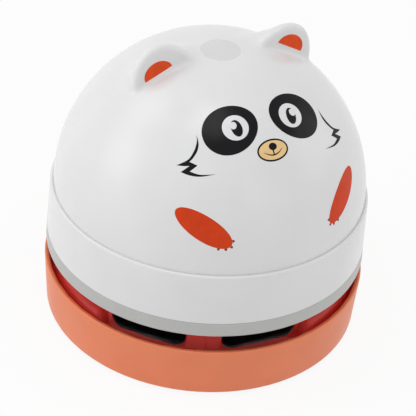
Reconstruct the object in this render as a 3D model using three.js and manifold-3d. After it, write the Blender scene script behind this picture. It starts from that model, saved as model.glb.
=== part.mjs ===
// Desktop mini vacuum cleaner with an animal's ears on its dome, in millimetres, +Z up.
// The origin is on the table, under the middle of the round body, and the face looks along -Y.
// An angle round the body is counted in degrees from the face, growing towards +X.
import * as THREE from "three";
import { mergeVertices } from "three/addons/utils/BufferGeometryUtils.js";
import Module from "manifold-3d";

const wasm = await Module();
wasm.setup();

// Clearances and tolerances
const seatGap = 0.3; // between pieces that seat on each other
const runGap = 0.3; // between a moving piece and its guide
const fineGap = 0.15; // between a shaft and its hub, and on each side of the seal
const overrun = 1; // how far a cutting shape runs past the face that it cuts
const weld = 0.4; // how far a rib or boss is sunk into the wall that carries it
const sameVertex = 1e-4; // vertices closer than this are one

// Facets
const roundSides = 44; // of the large rings
const innerSides = 30; // of rings and plates inside the body
const domeRings = 10; // of the dome's outside
const hollowRings = 5; // of the dome's inside
const smallSides = 12; // of bosses, pads and pins
const cellSides = 22;
const screwSides = 8;
const strandSides = 3;
const coilSides = 5; // of a contact spring's wire
const arcSteps = 6; // of an arc in an extruded outline
const cornerSteps = 2; // of a small round corner
const sectorSteps = 4; // of a part of a ring
const coilSteps = 8; // in each turn of a contact spring

// Base cup: the coral ring with the suction inlet in its floor
const footDrop = 1; // how far the feet hold the cup above the table
const cupHeight = 13.8;
const cupProud = 0.35; // how far the rim stands out beyond the band
const cupDraft = 0.65; // how much wider the rim is than the bottom
const cupWall = 1.2;
const cupEdge = 0.5; // rounding of the lower outer edge
const rimEdge = 0.3; // rounding of the rim
const bevelShare = 0.3; // of a rounding, from its corner to the middle of its arc
const skidWidth = 1.2; // lower ring that stands round the recessed floor
const floorRecess = 1;
const floorThickness = 1.2;
const stepWidth = 2.4; // inner step that carries the seal
const inletLength = 34;
const inletWidth = 9;
const inletBlockMargin = 3; // block round the inlet, beyond the slot's ends
const inletBlockHeight = 2.8;
const chimneyWall = 1.2;
const chimneyHeight = 3.3;
const hookReach = 2; // how far a bayonet hook stands in from the wall
const hookThickness = 1.2;
const hookCount = 3;
const hookSpan = 16; // degrees
const hookStopSpan = 2; // degrees
const hookPhase = 94; // degrees
const headTurn = 18; // degrees, from locked to free
const turnSlack = 0.4; // degrees, between a stop and what it stops

// Feet
const footRadius = 3.2;
const footInset = 2.8; // from the skid to a foot
const footCount = 4;
const footPhase = 45; // degrees

// Brush strips beside the inlet
const brushLength = 36;
const brushWidth = 3.2;
const brushBack = 1.4;
const brushInset = 1.2; // wall between the inlet and the brush channel
const rowCount = 3; // rows of strands in a strip
const columnCount = 48; // strands in a row
const firstStrandShare = 0.75; // of the pitch, from a strip's end to its first strand
const staggerShare = 0.5; // of the pitch, between one row and the next
const strandRadius = 0.17;
const strandLift = 0.3; // how far the tips stay above the table
const strandSplay = 0.25; // how far the outer rows lean out at their tips

// Seal ring
const sealThickness = 0.7;
const sealWidth = 1.2;

// Filter
const dustDepth = 5.6; // from the cup's floor to the filter
const meshThickness = 0.3;
const meshHole = 2.9; // radius of one hole
const meshPitch = 9;
const frameThickness = 0.8;
const frameRing = 2.5;
const spokeWidth = 1.6;
const spokeCount = 6;
const frameHub = 5;

// Fan housing: the red wall with the exhaust slots
const gapDepth = 5; // of the open gap, from the band's lower edge in to the red wall
const housingWall = 1.5;
const housingFloor = 1;
const eyeRadius = 14;
const eyeLipHeight = 0.7;
const eyeLipWidth = 1.2;
const filterCollar = 1.2; // wall of the collar that holds the filter
const slotHeight = 6;
const slotSill = 0.5; // from the housing's floor to the slots
const slotSpan = 31; // degrees
const slotCorner = 2.4;
const slotOffset = 22.5; // degrees, of each slot from the middle of its pair
const postCount = 3;
const postPhase = 34.5; // degrees
const postWidth = 1.2;
const postDepth = 0.8;
const housingBossRadius = 2.5;

// Motor deck: the light grey band and the floor inside it
const exhaustGap = 5.05; // open gap between the cup's rim and the band
const bandHeight = 3.9;
const bandProud = 0.03; // how far the band stands out beyond the skirt
const bandDraft = 0.2; // how much wider the band is at its lower edge
const bandEdge = 0.3;
const deckFloor = 1.6;
const spigotWall = 1.3;
const spigotHeight = 2.9; // how far the deck reaches up inside the skirt
const socketWall = 1.4;
const socketHeight = 8.5;
const deckBossRadius = 3;
const deckBossHeight = 6;

// Motor, a small can with two flats
const motorRadius = 10.05;
const motorFlat = 7.7; // from the axis to each flat
const canLength = 20;
const capLength = 5;
const capInset = 0.4;
const bushingRadius = 3.1;
const bushingLength = 1.7;
const shaftRadius = 1;
const shaftInCan = 11;
const terminalWidth = 2;
const terminalThickness = 0.5;
const terminalHeight = 2.6;
const terminalOffset = 5; // from the motor's axis

// Impeller
const impellerClearance = 3; // between the impeller and the housing's screw bosses
const impellerFloorGap = 1; // from the housing's floor to the blades
const bladeHeight = 4.8;
const bladeThickness = 1;
const bladeCount = 20;
const bladeRoot = 10; // radius where the blades start
const bladeSweep = 42; // degrees that a blade leans back
const bladeSteps = 4;
const backplate = 1.1;
const hubRadius = 4;

// Skirt shell: the white ring between the band and the dome
const skirtHeight = 13.6;
const skirtWall = 1.6;
const skirtDraft = 0.62; // how much wider the skirt is at its lower edge
const skirtEdge = 0.35;
const lugWidth = 7;
const lugThickness = 1.6;
const lugHole = 1.7;
const ledgeThickness = 1.3;
const lockCount = 3; // ledges in the skirt, and feet of the dome
const ledgeSpan = 13; // degrees
const ledgeStopSpan = 2; // degrees

// Battery tray and its screws
const trayPlate = 1.6;
const trayMargin = 1; // of the plate beyond the corners of the end walls
const trayClearance = 1; // between the plate and the dome's spigot
const trayDrop = 1.4; // from the skirt's upper edge down to the tray's floor
const trayScrewInset = 3.4; // from the plate's edge to a screw
const trayScrewReach = 4.87; // from the side of a cell out to a screw
const towerWall = 1.2;
const towerHeight = 7.8;
const endWall = 1.4;
const endWallHeight = 10.8;
const endWallDip = 7; // how far the middle of an end wall is cut down for the leads
const endWallMargin = 1; // of an end wall beyond the contact plates
const saddleWidth = 1.6;
const saddleHeight = 5.4;
const saddleOffset = 15;
const saddleOuter = 26;
const leadNotchWidth = 12;

// Two round cells, lying front to back
const cellRadius = 7.25;
const cellLength = 50.5; // with the nub
const nubRadius = 2.75;
const nubLength = 1.3;
const cellShoulder = 0.6;
const cellClearance = 1.05; // between a cell and the tower round the motor
const cellLift = 0.6; // clearance under a cell
const contactThickness = 0.4;
const contactWidth = 7;
const contactHeight = 7;
const springWire = 0.6;
const springTurns = 3;
const springLarge = 5; // radius of the largest turn
const springSmall = 2.4;
const springLength = 3.2;

// Slide switch in the back of the skirt
const switchDrop = 0.4; // from the tray down to the switch's body
const knobWidth = 5.5;
const knobHeight = 4.2;
const knobProud = 0.75; // how far the knob stands out of the skirt
const knobTravel = 3;
const knobRibs = 4;
const knobRibDepth = 0.35;
const flangeWidth = 13;
const flangeHeight = 6.6;
const flangeThickness = 0.7;
const windowRecess = 0.6; // depth of the shallow finger recess
const recessMargin = 2.2;
const pinWidth = 1.6;
const pinLength = 2.4;
const switchWidth = 14;
const switchDepth = 5.6;
const switchTall = 6.4;
const cradleWall = 1.2;
const cradleGrip = 3.2; // how far the cradle's cheeks reach up beside the switch

// Leads
const leadRadius = 0.65;
const leadSides = 6;
const leadSteps = 12;
const leadRise = 3.2; // how far a lead arches above the motor
const leadStep = 1.3; // between leads that run side by side
const switchedSide = 1.95; // of the switched lead from the middle, behind the tray
const supplySide = 2.6; // of the supply lead from the middle, behind the tray
const supplyBend = 6.5; // of the supply lead from the middle, where it turns down
const supplyReach = 4.9; // of the supply lead's first bend from its cell's axis
const returnSide = 3.9; // of the return lead from the middle, behind the motor
const returnBend = 5.2; // of the return lead from the middle, where it turns to its contact

// Screws
const screwHeadRadius = 2.2;
const screwHeadHeight = 1.5;
const screwRadius = 1.1;
const screwHole = 1.45; // radius of a clearance hole
const screwPilot = 1.4; // radius of the hole that a screw cuts into
const screwBite = 5; // length of a screw in its pilot hole

// Dome cover with its ears
const domeStep = 0.85; // how far the dome's edge stands in from the skirt's
const domeHeight = 40.5;
const domeWall = 1.6;
const domeCrownPower = 1.92; // how full the dome's profile is
const domeSidePower = 2.08;
const domeSpigotWall = 1.5;
const domeSpigotDepth = 2.2;
const domeFootSpan = 9.6; // degrees
const domeFootDepth = 6.2; // of a bayonet foot below the dome's edge
const domeFootThickness = 1.2;
const domeLegWall = 0.9;
const domePhase = 9; // degrees, so that no foot comes near the switch
const domeTurn = 15; // degrees, from locked to free
const earOffset = 17; // of an ear's middle from the middle of the dome
const earHalfWidth = 7.6;
const earHeight = 7.8; // above the dome
const earSink = 4; // how far the middle of an ear's oval lies below the dome's skin
const earDepth = 7.6; // from the flat front face to the back
const earFront = 3.2; // of the flat face ahead of the dome's middle
const earLean = 24; // degrees
const earSides = 20;
const earRings = 5;
const earWall = 1.6;

// Radii and places worked out from the sizes above, from the motor and the cells outwards
const towerHalfX = motorFlat + seatGap;
const towerHalfY = motorRadius + seatGap;
const cellOffset = towerHalfX + towerWall + cellClearance + cellRadius;
const compartmentHalf = (cellLength + springLength + 2 * (contactThickness + 2 * seatGap)) / 2;
const contactInner = compartmentHalf - seatGap - contactThickness;
const endWallReach = cellOffset + contactWidth / 2 + endWallMargin;
const trayRadius = Math.hypot(endWallReach, compartmentHalf + endWall) + trayMargin;
const trayScrewX = cellOffset + cellRadius + trayScrewReach;
const trayScrewY = Math.sqrt((trayRadius - trayScrewInset) ** 2 - trayScrewX ** 2);
const trayScrewPlaces = [
  [trayScrewX, -trayScrewY],
  [trayScrewX, trayScrewY],
  [-trayScrewX, trayScrewY],
  [-trayScrewX, -trayScrewY],
];
const skirtTopRadius = trayRadius + trayClearance + domeSpigotWall + seatGap + fineGap + skirtWall;
const skirtBottomRadius = skirtTopRadius + skirtDraft;
const domeRadius = skirtTopRadius - domeStep;
const bandTopRadius = skirtBottomRadius + bandProud;
const bandBottomRadius = bandTopRadius + bandDraft;
const cupRimRadius = bandBottomRadius + cupProud;
const cupBottomRadius = cupRimRadius - cupDraft;
const footRing = cupBottomRadius - cupEdge - skidWidth - footInset - footRadius;
const housingRadius = bandBottomRadius - gapDepth;
const housingScrewRing = housingRadius - housingWall - housingBossRadius;
const impellerRadius = housingScrewRing - housingBossRadius - impellerClearance;
const frameRadius = housingScrewRing - housingBossRadius - filterCollar - seatGap;

// Heights worked out from the sizes above
const cupBottom = footDrop;
const cupRim = cupBottom + cupHeight;
const floorUnder = cupBottom + floorRecess;
const floorTop = floorUnder + floorThickness;
const meshBottom = floorTop + dustDepth;
const frameBottom = meshBottom + meshThickness + seatGap;
const housingBottom = frameBottom + frameThickness + seatGap;
const housingFloorTop = housingBottom + housingFloor;
const stepTop = housingBottom - sealThickness - fineGap - fineGap;
const bandBottom = cupRim + exhaustGap;
const housingTop = bandBottom - seatGap;
const deckTop = bandBottom + deckFloor;
const bandTop = bandBottom + bandHeight;
const spigotTop = bandTop + spigotHeight;
const motorBottom = deckTop + seatGap;
const canTop = motorBottom + canLength;
const capTop = canTop + fineGap + capLength;
const bladeBottom = housingFloorTop + impellerFloorGap;
const bladeTop = bladeBottom + bladeHeight;
const impellerTop = bladeTop + backplate;
const skirtBottom = bandTop + seatGap;
const skirtTop = skirtBottom + skirtHeight;
const domeBottom = skirtTop + runGap;
const trayTop = skirtTop - trayDrop;
const trayUnder = trayTop - trayPlate;
const lugTop = trayUnder - seatGap;
const lugUnder = lugTop - lugThickness;
const pillarTop = lugUnder - seatGap;
const cellHeight = trayTop + cellLift + cellRadius;
const switchLow = trayUnder - switchDrop - switchTall;
const knobMiddle = switchLow + switchTall / 2;

// Radii of the tapered walls at a height
const rim = (height) => cupBottomRadius + (cupDraft * (height - cupBottom)) / cupHeight;
const cupInner = (height) => rim(height) - cupWall;
const skirtOuter = (height) => skirtBottomRadius - (skirtDraft * (height - skirtBottom)) / skirtHeight;
const skirtInner = (height) => skirtOuter(height) - skirtWall;
const radians = (degrees) => (degrees * Math.PI) / 180;

// The compass direction of an angle counted from the face.
const bearing = (degrees) => [Math.sin(radians(degrees)), -Math.cos(radians(degrees))];

// A closed three.js geometry as a solid whose faces point out.
function solid(geometry) {
  const bare = geometry.clone();
  bare.deleteAttribute("normal");
  bare.deleteAttribute("uv");
  const merged = mergeVertices(bare, sameVertex);
  const corners = new Uint32Array(merged.index.array);
  const vertProperties = new Float32Array(merged.attributes.position.array);
  const made = new wasm.Manifold(new wasm.Mesh({ numProp: 3, vertProperties, triVerts: corners }));
  if (made.volume() > 0) return made;
  for (let i = 0; i < corners.length; i += 3) {
    [corners[i + 1], corners[i + 2]] = [corners[i + 2], corners[i + 1]];
  }
  return new wasm.Manifold(new wasm.Mesh({ numProp: 3, vertProperties, triVerts: corners }));
}

function geometryOf(shape) {
  const mesh = shape.getMesh();
  const places = new Float32Array(mesh.numVert * 3);
  for (let i = 0; i < mesh.numVert; i += 1) {
    for (let k = 0; k < 3; k += 1) {
      places[3 * i + k] = mesh.vertProperties[mesh.numProp * i + k];
    }
  }
  const geometry = new THREE.BufferGeometry();
  geometry.setAttribute("position", new THREE.BufferAttribute(places, 3));
  geometry.setIndex(new THREE.BufferAttribute(new Uint32Array(mesh.triVerts), 1));
  return geometry;
}

const join = (first, ...others) => others.reduce((sum, one) => sum.add(one), first);
const cut = (first, ...others) => others.reduce((rest, one) => rest.subtract(one), first);
const turned = (shape, degrees) => solid(geometryOf(shape).rotateZ(radians(degrees)));
const repeated = (count, phase, make) =>
  Array.from({ length: count }, (_, i) => make(phase + (360 / count) * i));

// A profile of [radius, height] points, turned about the vertical axis.
function revolve(points, sides = roundSides) {
  const profile = points.map(([radius, height]) => new THREE.Vector2(radius, height));
  return solid(new THREE.LatheGeometry(profile, sides).rotateX(Math.PI / 2));
}

// The same for a profile that doesn't reach the axis: it closes on itself.
const revolveRing = (points, sides = roundSides) => revolve([...points, points[0]], sides);

function disc(radius, low, high, x = 0, y = 0, sides = smallSides) {
  const geometry = new THREE.CylinderGeometry(radius, radius, high - low, sides);
  geometry.rotateX(Math.PI / 2);
  geometry.translate(x, y, (low + high) / 2);
  return solid(geometry);
}

function block(x0, x1, y0, y1, z0, z1) {
  const geometry = new THREE.BoxGeometry(x1 - x0, y1 - y0, z1 - z0);
  geometry.translate((x0 + x1) / 2, (y0 + y1) / 2, (z0 + z1) / 2);
  return solid(geometry);
}

function prism(shape, low, high, curveSegments = arcSteps) {
  const options = { depth: high - low, bevelEnabled: false, curveSegments };
  return solid(new THREE.ExtrudeGeometry(shape, options).translate(0, 0, low));
}

// Part of a ring, from one angle to another.
function sector(inner, outer, low, high, from, to, steps = sectorSteps) {
  const corner = (radius, degrees) => new THREE.Vector2(...bearing(degrees).map((one) => one * radius));
  const points = [];
  for (let i = 0; i <= steps; i += 1) {
    points.push(corner(outer, from + ((to - from) * i) / steps));
  }
  for (let i = steps; i >= 0; i -= 1) {
    points.push(corner(inner, from + ((to - from) * i) / steps));
  }
  return prism(new THREE.Shape(points), low, high);
}

// A slot with round ends, its length along X.
function stadium(length, width) {
  const half = (length - width) / 2;
  const shape = new THREE.Shape();
  shape.absarc(half, 0, width / 2, -Math.PI / 2, Math.PI / 2, false);
  shape.absarc(-half, 0, width / 2, Math.PI / 2, (3 * Math.PI) / 2, false);
  return shape;
}

function roundedBox(halfX, halfY, corner) {
  const shape = new THREE.Shape();
  shape.absarc(halfX - corner, halfY - corner, corner, 0, Math.PI / 2, false);
  shape.absarc(corner - halfX, halfY - corner, corner, Math.PI / 2, Math.PI, false);
  shape.absarc(corner - halfX, corner - halfY, corner, Math.PI, (3 * Math.PI) / 2, false);
  shape.absarc(halfX - corner, corner - halfY, corner, (3 * Math.PI) / 2, 2 * Math.PI, false);
  return shape;
}

// A round tube along a smooth curve through the points.
function tube(points, radius, sides, steps) {
  const path = new THREE.CatmullRomCurve3(points.map((one) => new THREE.Vector3(...one)));
  const section = new THREE.Shape();
  for (let i = 0; i < sides; i += 1) {
    const angle = (2 * Math.PI * i) / sides;
    const corner = [radius * Math.cos(angle), radius * Math.sin(angle)];
    if (i === 0) section.moveTo(...corner);
    else section.lineTo(...corner);
  }
  section.closePath();
  return solid(new THREE.ExtrudeGeometry(section, { steps, bevelEnabled: false, extrudePath: path }));
}

// Finishes
const finish = (color, roughness, metalness = 0) =>
  new THREE.MeshStandardMaterial({ color, roughness, metalness });
const white = finish(0xe4e5e8, 0.28);
const coral = finish(0xe8855c, 0.45);
const red = finish(0xa82018, 0.25);
const bandGrey = finish(0xbbbdb9, 0.6);
const blackPlastic = finish(0x26262a, 0.5);
const greyPlastic = finish(0x9b9c9e, 0.5);
const rubber = finish(0x2a2a2c, 0.85);
const foam = finish(0x3a3a3d, 0.95);
const bristle = finish(0x303034, 0.7);
const meshWhite = finish(0xd6d8d8, 0.8);
const steel = finish(0xb9bcc0, 0.3, 0.9);
const brass = finish(0xc9a24d, 0.35, 0.9);
const cellBody = finish(0x2f5d50, 0.4, 0.3);

const part = new THREE.Group();
const groups = {};
for (const name of ["base", "head", "impeller", "switch", "dome"]) {
  groups[name] = new THREE.Group();
  part.add(groups[name]);
}

function addPiece(group, name, shape, material) {
  const mesh = new THREE.Mesh(geometryOf(shape), material);
  mesh.name = name;
  groups[group].add(mesh);
}

// A pan-head screw that points up, its head's bearing face at the height given.
function screw(bearingFace, length) {
  const low = bearingFace - screwHeadHeight;
  const points = [
    [0, low],
    [screwHeadRadius, low],
    [screwHeadRadius, bearingFace],
    [screwRadius, bearingFace],
    [screwRadius, bearingFace + length],
    [0, bearingFace + length],
  ];
  return revolve(points, screwSides);
}

const inletOuterWidth = inletWidth / 2 + brushInset;
const brushChannelWidth = brushWidth + seatGap + seatGap;
const brushMiddle = inletOuterWidth + brushChannelWidth / 2;
const blockHalfWidth = inletOuterWidth + brushChannelWidth + brushInset;
const blockTop = floorTop + inletBlockHeight;
const brushTop = blockTop - floorThickness - seatGap;
const hookRadius = cupInner(housingFloorTop) - hookReach;
const stepRadius = cupInner(stepTop) - stepWidth;

function baseCup() {
  const shell = revolve([
    [0, floorUnder],
    [rim(cupBottom) - cupEdge - skidWidth - floorRecess / 2, floorUnder],
    [rim(cupBottom) - cupEdge - skidWidth, cupBottom],
    [rim(cupBottom) - cupEdge, cupBottom],
    [rim(cupBottom) - cupEdge * bevelShare, cupBottom + cupEdge * bevelShare],
    [rim(cupBottom + cupEdge), cupBottom + cupEdge],
    [rim(cupRim - rimEdge), cupRim - rimEdge],
    [rim(cupRim) - rimEdge, cupRim],
    [cupInner(cupRim) + rimEdge, cupRim],
    [cupInner(cupRim - rimEdge), cupRim - rimEdge],
    [cupInner(stepTop), stepTop],
    [stepRadius, stepTop],
    [stepRadius, floorTop],
    [0, floorTop],
  ]);
  const blockHalfLength = Math.max(inletLength, brushLength) / 2 + inletBlockMargin;
  const riserShape = roundedBox(blockHalfLength, blockHalfWidth, inletBlockMargin);
  const riser = prism(riserShape, floorUnder, blockTop);
  const chimneyTop = floorTop + chimneyHeight;
  const chimneyShape = stadium(inletLength + 2 * chimneyWall, inletWidth + 2 * chimneyWall);
  const chimney = prism(chimneyShape, floorUnder, chimneyTop);
  const inlet = prism(stadium(inletLength, inletWidth), floorUnder - overrun, chimneyTop + overrun);
  const channelHalf = brushLength / 2 + seatGap;
  const channels = [-1, 1].map((side) =>
    block(
      -channelHalf,
      channelHalf,
      side * brushMiddle - brushChannelWidth / 2,
      side * brushMiddle + brushChannelWidth / 2,
      floorUnder - overrun,
      blockTop - floorThickness,
    ),
  );
  const hookOuter = cupInner(housingFloorTop) + weld;
  const hookBottom = housingFloorTop + runGap;
  const hookTop = hookBottom + hookThickness;
  const hooks = repeated(hookCount, hookPhase, (angle) =>
    sector(hookRadius, hookOuter, hookBottom, hookTop, angle - hookStopSpan, angle + hookSpan),
  );
  const stops = repeated(hookCount, hookPhase, (angle) =>
    sector(
      hookRadius + fineGap,
      hookOuter + fineGap,
      housingBottom,
      hookBottom + hookThickness / 2,
      angle - hookStopSpan + turnSlack / 2,
      angle,
      cornerSteps,
    ),
  );
  return cut(join(shell, riser, chimney, ...hooks, ...stops), inlet, ...channels);
}

function brushStrip(side) {
  const middle = side * brushMiddle;
  const low = brushTop - brushBack;
  const back = block(
    -brushLength / 2,
    brushLength / 2,
    middle - brushWidth / 2,
    middle + brushWidth / 2,
    low,
    brushTop,
  );
  const pitchX = brushLength / (columnCount + 1);
  const pitchY = brushWidth / (rowCount + 1);
  const places = [];
  const faces = [];
  for (let row = 0; row < rowCount; row += 1) {
    for (let column = 0; column < columnCount; column += 1) {
      const fromMiddle = row - (rowCount - 1) / 2;
      const stagger = row % 2 ? staggerShare : 0;
      const x = -brushLength / 2 + pitchX * (column + firstStrandShare + stagger);
      const y = middle + pitchY * fromMiddle;
      const start = places.length / 3;
      for (let end = 0; end < 2; end += 1) {
        const height = end ? strandLift : low + weld;
        const lean = end ? strandSplay * fromMiddle : 0;
        for (let k = 0; k < strandSides; k += 1) {
          const angle = (2 * Math.PI * k) / strandSides;
          places.push(x + strandRadius * Math.cos(angle), y + lean + strandRadius * Math.sin(angle), height);
        }
      }
      const tip = start + strandSides;
      for (let k = 1; k < strandSides - 1; k += 1) {
        faces.push(start, start + k, start + k + 1);
        faces.push(tip, tip + k + 1, tip + k);
      }
      for (let k = 0; k < strandSides; k += 1) {
        const next = (k + 1) % strandSides;
        faces.push(start + k, tip + k, start + next);
        faces.push(start + next, tip + k, tip + next);
      }
    }
  }
  const strands = new THREE.BufferGeometry();
  strands.setAttribute("position", new THREE.Float32BufferAttribute(places, 3));
  strands.setIndex(faces);
  return join(back, solid(strands));
}

function sealRing() {
  const outer = cupInner(stepTop) - seatGap;
  const inner = outer - sealWidth;
  const low = stepTop + fineGap;
  const high = low + sealThickness;
  const profile = [
    [inner, low],
    [outer, low],
    [outer, high],
    [inner, high],
  ];
  return revolveRing(profile, innerSides);
}

function filterFrame() {
  const top = frameBottom + frameThickness;
  const profile = [
    [frameRadius - frameRing, frameBottom],
    [frameRadius, frameBottom],
    [frameRadius, top],
    [frameRadius - frameRing, top],
  ];
  const ring = revolveRing(profile, innerSides);
  const hub = disc(frameHub, frameBottom, top);
  const reach = frameRadius - frameRing / 2;
  const spokes = repeated(spokeCount, 0, (angle) =>
    turned(block(-spokeWidth / 2, spokeWidth / 2, -reach, 0, frameBottom, top), angle),
  );
  return join(ring, hub, ...spokes);
}

function filterMesh() {
  const holeSides = 6;
  const sheet = new THREE.Shape();
  sheet.absarc(0, 0, frameRadius, 0, 2 * Math.PI, false);
  const rowPitch = (meshPitch * Math.sqrt(3)) / 2; // of a hexagonal grid
  const rows = Math.floor(frameRadius / rowPitch);
  for (let row = -rows; row <= rows; row += 1) {
    const y = row * rowPitch;
    const columns = Math.ceil(frameRadius / meshPitch);
    for (let column = -columns; column <= columns; column += 1) {
      const x = (column + (row % 2 ? staggerShare : 0)) * meshPitch;
      if (Math.hypot(x, y) > frameRadius - frameRing - meshHole) continue;
      const hole = new THREE.Path();
      for (let k = 0; k < holeSides; k += 1) {
        const angle = (2 * Math.PI * k) / holeSides;
        const corner = [x + meshHole * Math.cos(angle), y + meshHole * Math.sin(angle)];
        if (k === 0) hole.moveTo(...corner);
        else hole.lineTo(...corner);
      }
      hole.closePath();
      sheet.holes.push(hole);
    }
  }
  return prism(sheet, meshBottom, meshBottom + meshThickness, innerSides / 2);
}

// An exhaust slot as a cutter that stands in the wall at the face's side.
function slotCutter() {
  const inner = housingRadius - housingWall - overrun - housingWall;
  const outer = housingRadius + overrun;
  const halfWidth = housingRadius * Math.sin(radians(slotSpan / 2));
  const middle = housingFloorTop + slotSill + slotHeight / 2;
  const options = { depth: outer - inner, bevelEnabled: false, curveSegments: cornerSteps };
  const shape = roundedBox(halfWidth, slotHeight / 2, slotCorner);
  const geometry = new THREE.ExtrudeGeometry(shape, options);
  geometry.rotateX(Math.PI / 2);
  geometry.translate(0, -inner, middle);
  return solid(geometry);
}

function fanHousing() {
  const inner = housingRadius - housingWall;
  const flange = cupInner(housingBottom) - runGap;
  const collarInner = frameRadius + seatGap;
  const shell = revolveRing([
    [eyeRadius, housingBottom],
    [collarInner, housingBottom],
    [collarInner, meshBottom],
    [collarInner + filterCollar, meshBottom],
    [collarInner + filterCollar, housingBottom],
    [flange, housingBottom],
    [flange, housingFloorTop],
    [housingRadius, housingFloorTop],
    [housingRadius, housingTop],
    [inner, housingTop],
    [inner, housingFloorTop],
    [eyeRadius + eyeLipWidth, housingFloorTop],
    [eyeRadius + eyeLipWidth, housingFloorTop + eyeLipHeight],
    [eyeRadius, housingFloorTop + eyeLipHeight],
  ]);
  const posts = repeated(postCount, postPhase, (angle) => {
    const [x, y] = bearing(angle).map((one) => one * housingScrewRing);
    const boss = disc(housingBossRadius, housingBottom, housingTop, x, y);
    const outer = -housingRadius - postDepth;
    const rib = block(-postWidth / 2, postWidth / 2, outer, -inner, housingBottom, housingTop);
    return join(boss, turned(rib, angle));
  });
  const holes = repeated(postCount, postPhase, (angle) => {
    const [x, y] = bearing(angle).map((one) => one * housingScrewRing);
    return disc(screwHole, housingBottom - overrun, housingTop + overrun, x, y, screwSides);
  });
  const slot = slotCutter();
  const pairMiddle = postPhase + 180 / postCount;
  const slots = [-slotOffset, slotOffset].flatMap((offset) =>
    repeated(postCount, pairMiddle + offset, (angle) => turned(slot, angle)),
  );
  const notchRadius = hookRadius - runGap;
  const notches = repeated(hookCount, hookPhase, (angle) =>
    sector(
      notchRadius,
      flange + overrun,
      housingBottom - overrun,
      housingFloorTop + overrun,
      angle - headTurn - hookStopSpan - 2 * turnSlack,
      angle + turnSlack,
    ),
  );
  return cut(join(shell, ...posts), ...holes, ...slots, ...notches);
}

function motorOutline(inset) {
  const radius = motorRadius - inset;
  const flat = motorFlat - inset;
  const angle = Math.acos(flat / radius);
  const shape = new THREE.Shape();
  shape.absarc(0, 0, radius, angle, Math.PI - angle, false);
  shape.absarc(0, 0, radius, Math.PI + angle, 2 * Math.PI - angle, false);
  return shape;
}

function motorDeck() {
  const spigotOuter = skirtInner(spigotTop) - seatGap;
  const spigotInner = spigotOuter - spigotWall;
  const bore = bushingRadius + seatGap;
  const shell = revolveRing([
    [bore, bandBottom],
    [bandBottomRadius - bandEdge, bandBottom],
    [bandBottomRadius, bandBottom + bandEdge],
    [bandTopRadius, bandTop],
    [spigotOuter, bandTop],
    [spigotOuter, spigotTop],
    [spigotInner, spigotTop],
    [spigotInner, deckTop],
    [bore, deckTop],
  ]);
  const socketTop = deckTop + socketHeight;
  const socketOuter = prism(motorOutline(-seatGap - socketWall), bandBottom, socketTop);
  const socketInner = prism(motorOutline(-seatGap), deckTop, socketTop + overrun);
  const bushingBore = disc(bore, bandBottom - overrun, deckTop + overrun);
  const bosses = repeated(postCount, postPhase, (angle) => {
    const [x, y] = bearing(angle).map((one) => one * housingScrewRing);
    return disc(deckBossRadius, bandBottom, deckTop + deckBossHeight, x, y);
  });
  const bossPilots = repeated(postCount, postPhase, (angle) => {
    const [x, y] = bearing(angle).map((one) => one * housingScrewRing);
    return disc(screwPilot, bandBottom - overrun, bandBottom + screwBite + overrun, x, y, screwSides);
  });
  const pillars = trayScrewPlaces.map(([x, y]) => disc(deckBossRadius, bandBottom, pillarTop, x, y));
  const pillarPilots = trayScrewPlaces.map(([x, y]) =>
    disc(screwPilot, pillarTop - screwBite - overrun, pillarTop + overrun, x, y, screwSides),
  );
  const towers = cut(join(socketOuter, ...bosses, ...pillars), socketInner);
  return cut(join(shell, towers, switchCradle()), bushingBore, ...bossPilots, ...pillarPilots);
}

const knobFace = skirtOuter(knobMiddle) + knobProud;
const flangeFace = Math.sqrt(skirtInner(knobMiddle) ** 2 - (flangeWidth / 2 + knobTravel / 2) ** 2) - runGap;
const switchFace = flangeFace - flangeThickness - runGap;
const switchBack = switchFace - switchDepth;

// The shelf and cheeks that hold the switch's body on the deck.
function switchCradle() {
  const half = switchWidth / 2 + seatGap;
  const shelfTop = switchLow - seatGap;
  const shelf = block(-half - cradleWall, half + cradleWall, switchBack, switchFace, bandBottom, shelfTop);
  const cheeks = [-1, 1].map((side) => {
    const edges = [side * half, side * (half + cradleWall)].sort((a, b) => a - b);
    return block(edges[0], edges[1], switchBack, switchFace, bandBottom, shelfTop + cradleGrip);
  });
  const relief = block(
    -half + cradleWall,
    half - cradleWall,
    switchBack + cradleWall,
    switchFace + overrun,
    deckTop,
    shelfTop - cradleWall,
  );
  return cut(join(shelf, ...cheeks), relief);
}

function switchBody() {
  const top = switchLow + switchTall;
  const slotHalf = (pinWidth + knobTravel) / 2 + runGap;
  const body = block(-switchWidth / 2, switchWidth / 2, switchBack, switchFace, switchLow, top);
  const slot = block(
    -slotHalf,
    slotHalf,
    switchFace - pinLength - runGap,
    switchFace + overrun,
    knobMiddle - pinWidth / 2 - runGap,
    knobMiddle + pinWidth / 2 + runGap,
  );
  return cut(body, slot);
}

function switchKnob() {
  const x = -knobTravel / 2;
  const low = knobMiddle - knobHeight / 2;
  const high = knobMiddle + knobHeight / 2;
  const capRoot = flangeFace - flangeThickness / 2;
  const cap = block(x - knobWidth / 2, x + knobWidth / 2, capRoot, knobFace, low, high);
  const flange = block(
    x - flangeWidth / 2,
    x + flangeWidth / 2,
    flangeFace - flangeThickness,
    flangeFace,
    knobMiddle - flangeHeight / 2,
    knobMiddle + flangeHeight / 2,
  );
  const pin = block(
    x - pinWidth / 2,
    x + pinWidth / 2,
    switchFace - pinLength,
    flangeFace - flangeThickness / 2,
    knobMiddle - pinWidth / 2,
    knobMiddle + pinWidth / 2,
  );
  const pitch = knobWidth / (2 * knobRibs - 1);
  const grooves = Array.from({ length: knobRibs - 1 }, (_, i) => {
    const start = x - knobWidth / 2 + pitch + (pitch + pitch) * i;
    const root = knobFace - knobRibDepth;
    return block(start, start + pitch, root, knobFace + overrun, low - overrun, high + overrun);
  });
  return cut(join(cap, flange, pin), ...grooves);
}

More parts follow.
